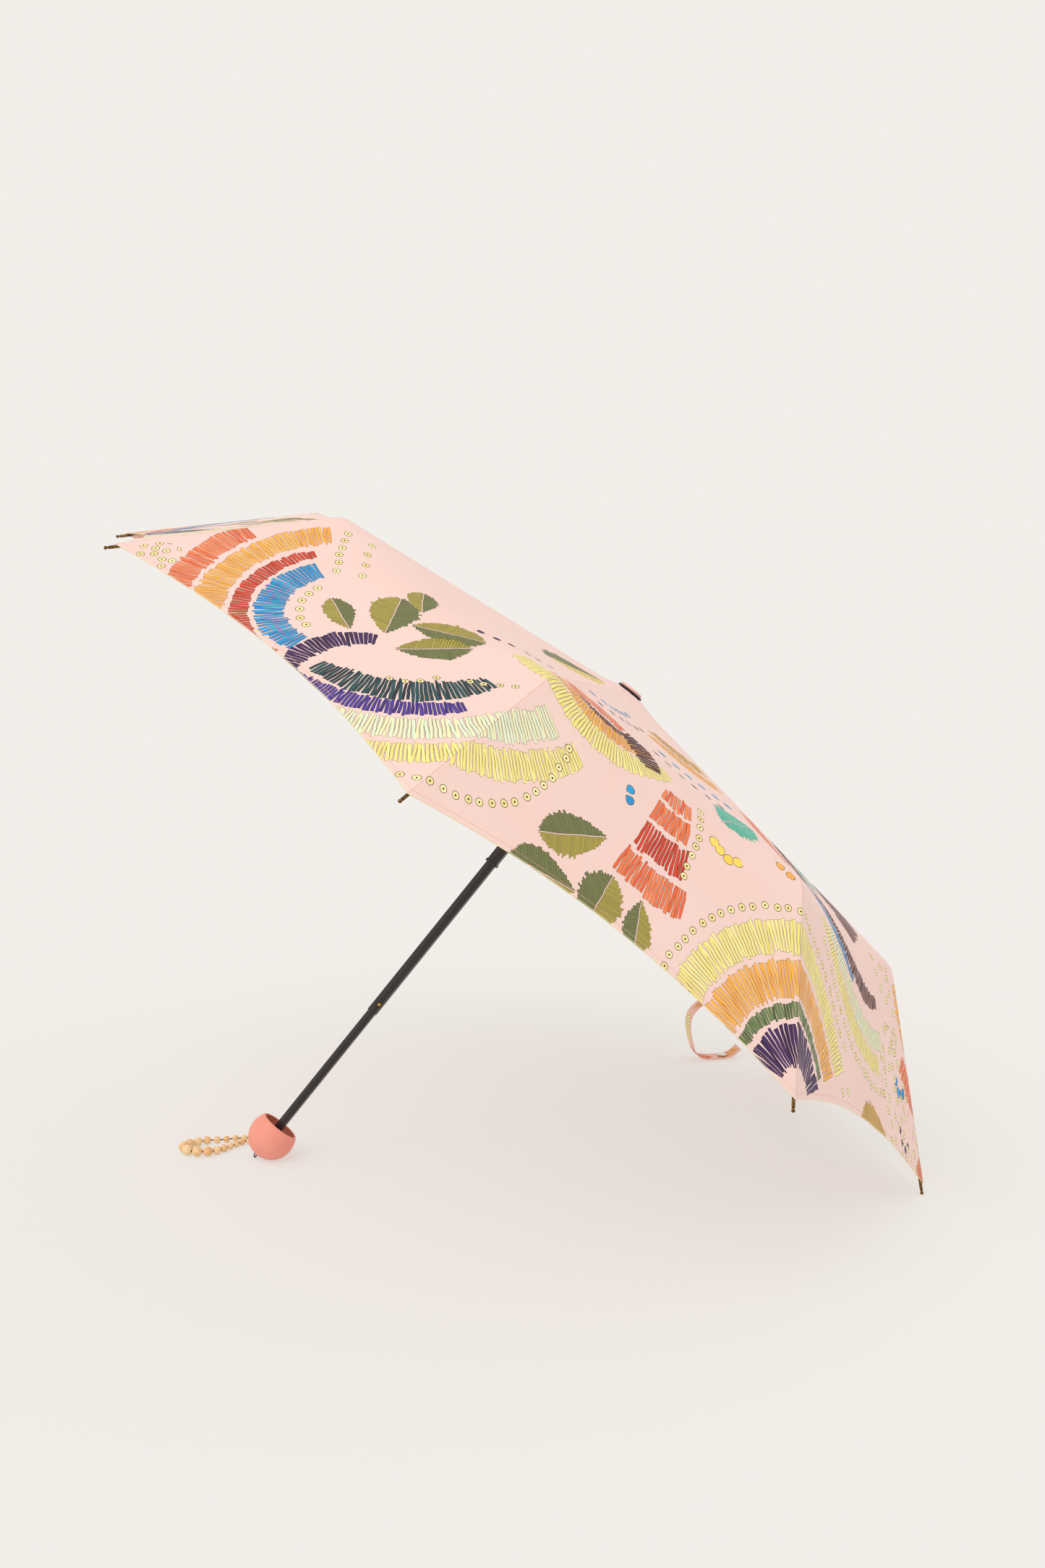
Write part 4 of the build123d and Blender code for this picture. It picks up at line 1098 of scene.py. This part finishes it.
# stove-enamelled tube: near black, warm, satin gloss with a slight orange peel
enamel = newMaterial("blackEnamelSteel", [
    ("coord", "TexCoord", {}, {}),
    ("mottle", "TexNoise", {}, {"Vector": "coord.Object", "Scale": 90.0, "Detail": 3.0}),
    ("tone", "Mix", "RGBA", {"Factor": "mottle.Fac", "A": "#1B1512", "B": "#2B211C"}),
    ("peel", "TexNoise", {}, {"Vector": "coord.Object", "Scale": 700.0, "Detail": 1.0}),
    ("bump", "Bump", {}, {"Height": "peel.Fac", "Strength": 0.08, "Distance": 0.0001}),
], {"Base Color": "tone.Result", "Normal": "bump", "Roughness": 0.32})

# moulded nylon: matt black with a fine spark-eroded grain
nylon = newMaterial("blackMouldedNylon", [
    ("coord", "TexCoord", {}, {}),
    ("grit", "TexNoise", {}, {"Vector": "coord.Object", "Scale": 2500.0, "Detail": 2.0}),
    ("tone", "Mix", "RGBA", {"Factor": "grit.Fac", "A": "#121110", "B": "#201E1D"}),
    ("bump", "Bump", {}, {"Height": "grit.Fac", "Strength": 0.3, "Distance": 0.0001}),
], {"Base Color": "tone.Result", "Normal": "bump", "Roughness": 0.55})


def metalMaterial(name, light, dark, roughness, patches, scale):
    return newMaterial(name, [
        ("coord", "TexCoord", {}, {}),
        ("wear", "TexNoise", {}, {"Vector": "coord.Object", "Scale": scale, "Detail": 5.0}),
        ("share", "MapRange", {},
         {"Value": "wear.Fac", "From Min": 0.35, "From Max": 0.65, "To Min": 0.0, "To Max": patches}),
        ("tone", "Mix", "RGBA", {"Factor": "share.Result", "A": light, "B": dark}),
        ("dull", "MapRange", {},
         {"Value": "wear.Fac", "To Min": roughness - 0.08, "To Max": roughness + 0.12}),
    ], {"Base Color": "tone.Result", "Roughness": "dull.Result", "Metallic": 1.0})


ribSteel = metalMaterial("zincPlatedRibSteel", "#A9A9A6", "#7E7E7C", 0.34, 0.6, 260.0)   # pressed and plated
wireSteel = metalMaterial("drawnSteelWire", "#C9C9C6", "#9A9A98", 0.28, 0.5, 500.0)
springBrass = metalMaterial("domedBrass", "#E0B26A", "#A87B3C", 0.25, 0.5, 400.0)
# darkened, rubbed bright in spots
tipBrass = metalMaterial("antiqueBrass", "#8A6A3C", "#3B2C1B", 0.38, 0.9, 600.0)
snapMetal = metalMaterial("nickelPlatedSnap", "#E9E7E2", "#BDBAB4", 0.22, 0.4, 500.0)


def plasticMaterial(name, light, dark, roughness):
    return newMaterial(name, [
        ("coord", "TexCoord", {}, {}),
        ("cloud", "TexNoise", {}, {"Vector": "coord.Object", "Scale": 60.0, "Detail": 2.0}),
        ("tone", "Mix", "RGBA", {"Factor": "cloud.Fac", "A": light, "B": dark}),
        ("grain", "TexNoise", {}, {"Vector": "coord.Object", "Scale": 1600.0, "Detail": 2.0}),
        ("bump", "Bump", {}, {"Height": "grain.Fac", "Strength": 0.2, "Distance": 0.0001}),
    ], {"Base Color": "tone.Result", "Normal": "bump", "Roughness": roughness})


# moulded ABS, the ball's with a soft-touch lacquer that takes the gloss away
coralPlastic = plasticMaterial("coralSoftTouchAbs", "#F2A08D", "#EA917D", 0.52)
pinkPlastic = plasticMaterial("pinkMouldedAbs", "#F6BDB2", "#F0B0A4", 0.45)

# the strap is cut from the cover's cloth: short stitches across it, and a seam 1.6 mm inside each edge
strapPrint = {
    "motifs": [
        ("band", -30, 22, 0, 28, 21, 37, 2.8, "gold", 0.2),
        ("band", 30, 58, 180, 26, 22, 38, 2.8, "lemon", 0.3),
        ("band", -30, 94, 0, 28, 22, 37, 2.8, "orange", 0.2),
        ("band", 30, 128, 180, 20, 22, 37, 2.8, "gold", 0.2)],
    "seamPlace": 9.4,
}
rows, printed = printedRows("strapPlan", 0.05, "#F3C9BC", "#EDBBAD", [
    (31.0 * number, motif) for number, motif in enumerate(strapPrint["motifs"])])
strapCloth = newMaterial("strapPolyester", rows + [
    ("axes", "SeparateXYZ", {}, {"Vector": "flat"}),
    ("aside", "Math", "ABSOLUTE", ["axes.X"]),
    ("onSeam", "Math", "COMPARE", ["aside", strapPrint["seamPlace"], 0.3]),
    ("stitches", "Math", "MULTIPLY", ["axes.Y", 0.42]),
    ("stitchShare", "Math", "FRACT", ["stitches"]),
    ("onThread", "Math", "LESS_THAN", ["stitchShare", 0.7]),
    ("thread", "Math", "MULTIPLY", ["onSeam", "onThread"]),
    ("sewn", "Mix", "RGBA", {"Factor": "thread", "A": printed, "B": "#DE9F8E"}),
    ("weave", "TexChecker", {},
     {"Vector": "flat", "Scale": 1.25, "Color1": (1, 1, 1, 1), "Color2": (0, 0, 0, 1)}),
    ("raised", "Math", "MULTIPLY_ADD", ["weave.Fac", 0.05, "thread"]),
    ("bump", "Bump", {}, {"Height": "raised", "Strength": 0.5, "Distance": 0.0004}),
], {"Base Color": "sewn.Result", "Normal": "bump", "Roughness": 0.74, "Sheen Weight": 0.12})

finishes = {
    "upper_tube": enamel, "middle_tube": enamel, "lower_tube": enamel, "crown": nylon, "runner": nylon,
    "runner_button": nylon, "handle_plug": nylon, "crown_wire": wireSteel, "runner_wire": wireSteel,
    "handle_pin": wireSteel, "middle_detent": springBrass, "lower_detent": springBrass,
}
for node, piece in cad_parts.items():
    if isinstance(piece, str):
        piece = bpy.data.objects[piece]
    finish = finishes.get(node)
    if finish is None and node.rsplit("_", 1)[0] in ("inner_rib", "stretcher", "middle_rib", "outer_rib"):
        finish = ribSteel
    if finish is None and node.startswith("rib_tip"):
        finish = tipBrass
    if finish is not None:
        giveMaterial(piece, finish)

for piece, material, node, body, slot in (
        (crownCap, pinkPlastic, "top_cap", "shaft_top", "pink_plastic"),
        (crownWasher, nylon, "cap_washer", "shaft_top", "black_plastic"),
        (handleBall, coralPlastic, "handle_shell", "lower_tube", "coral_plastic"),
        (strap, strapCloth, "closure_strap", "shaft_top", "strap_cloth"),
        (snap, snapMetal, "strap_snap", "shaft_top", "steel")):
    giveMaterial(piece, material)
    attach(piece, body)
    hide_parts(node)
for piece in (strap, snap):
    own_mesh(piece)
print("all pieces ride on their bodies")
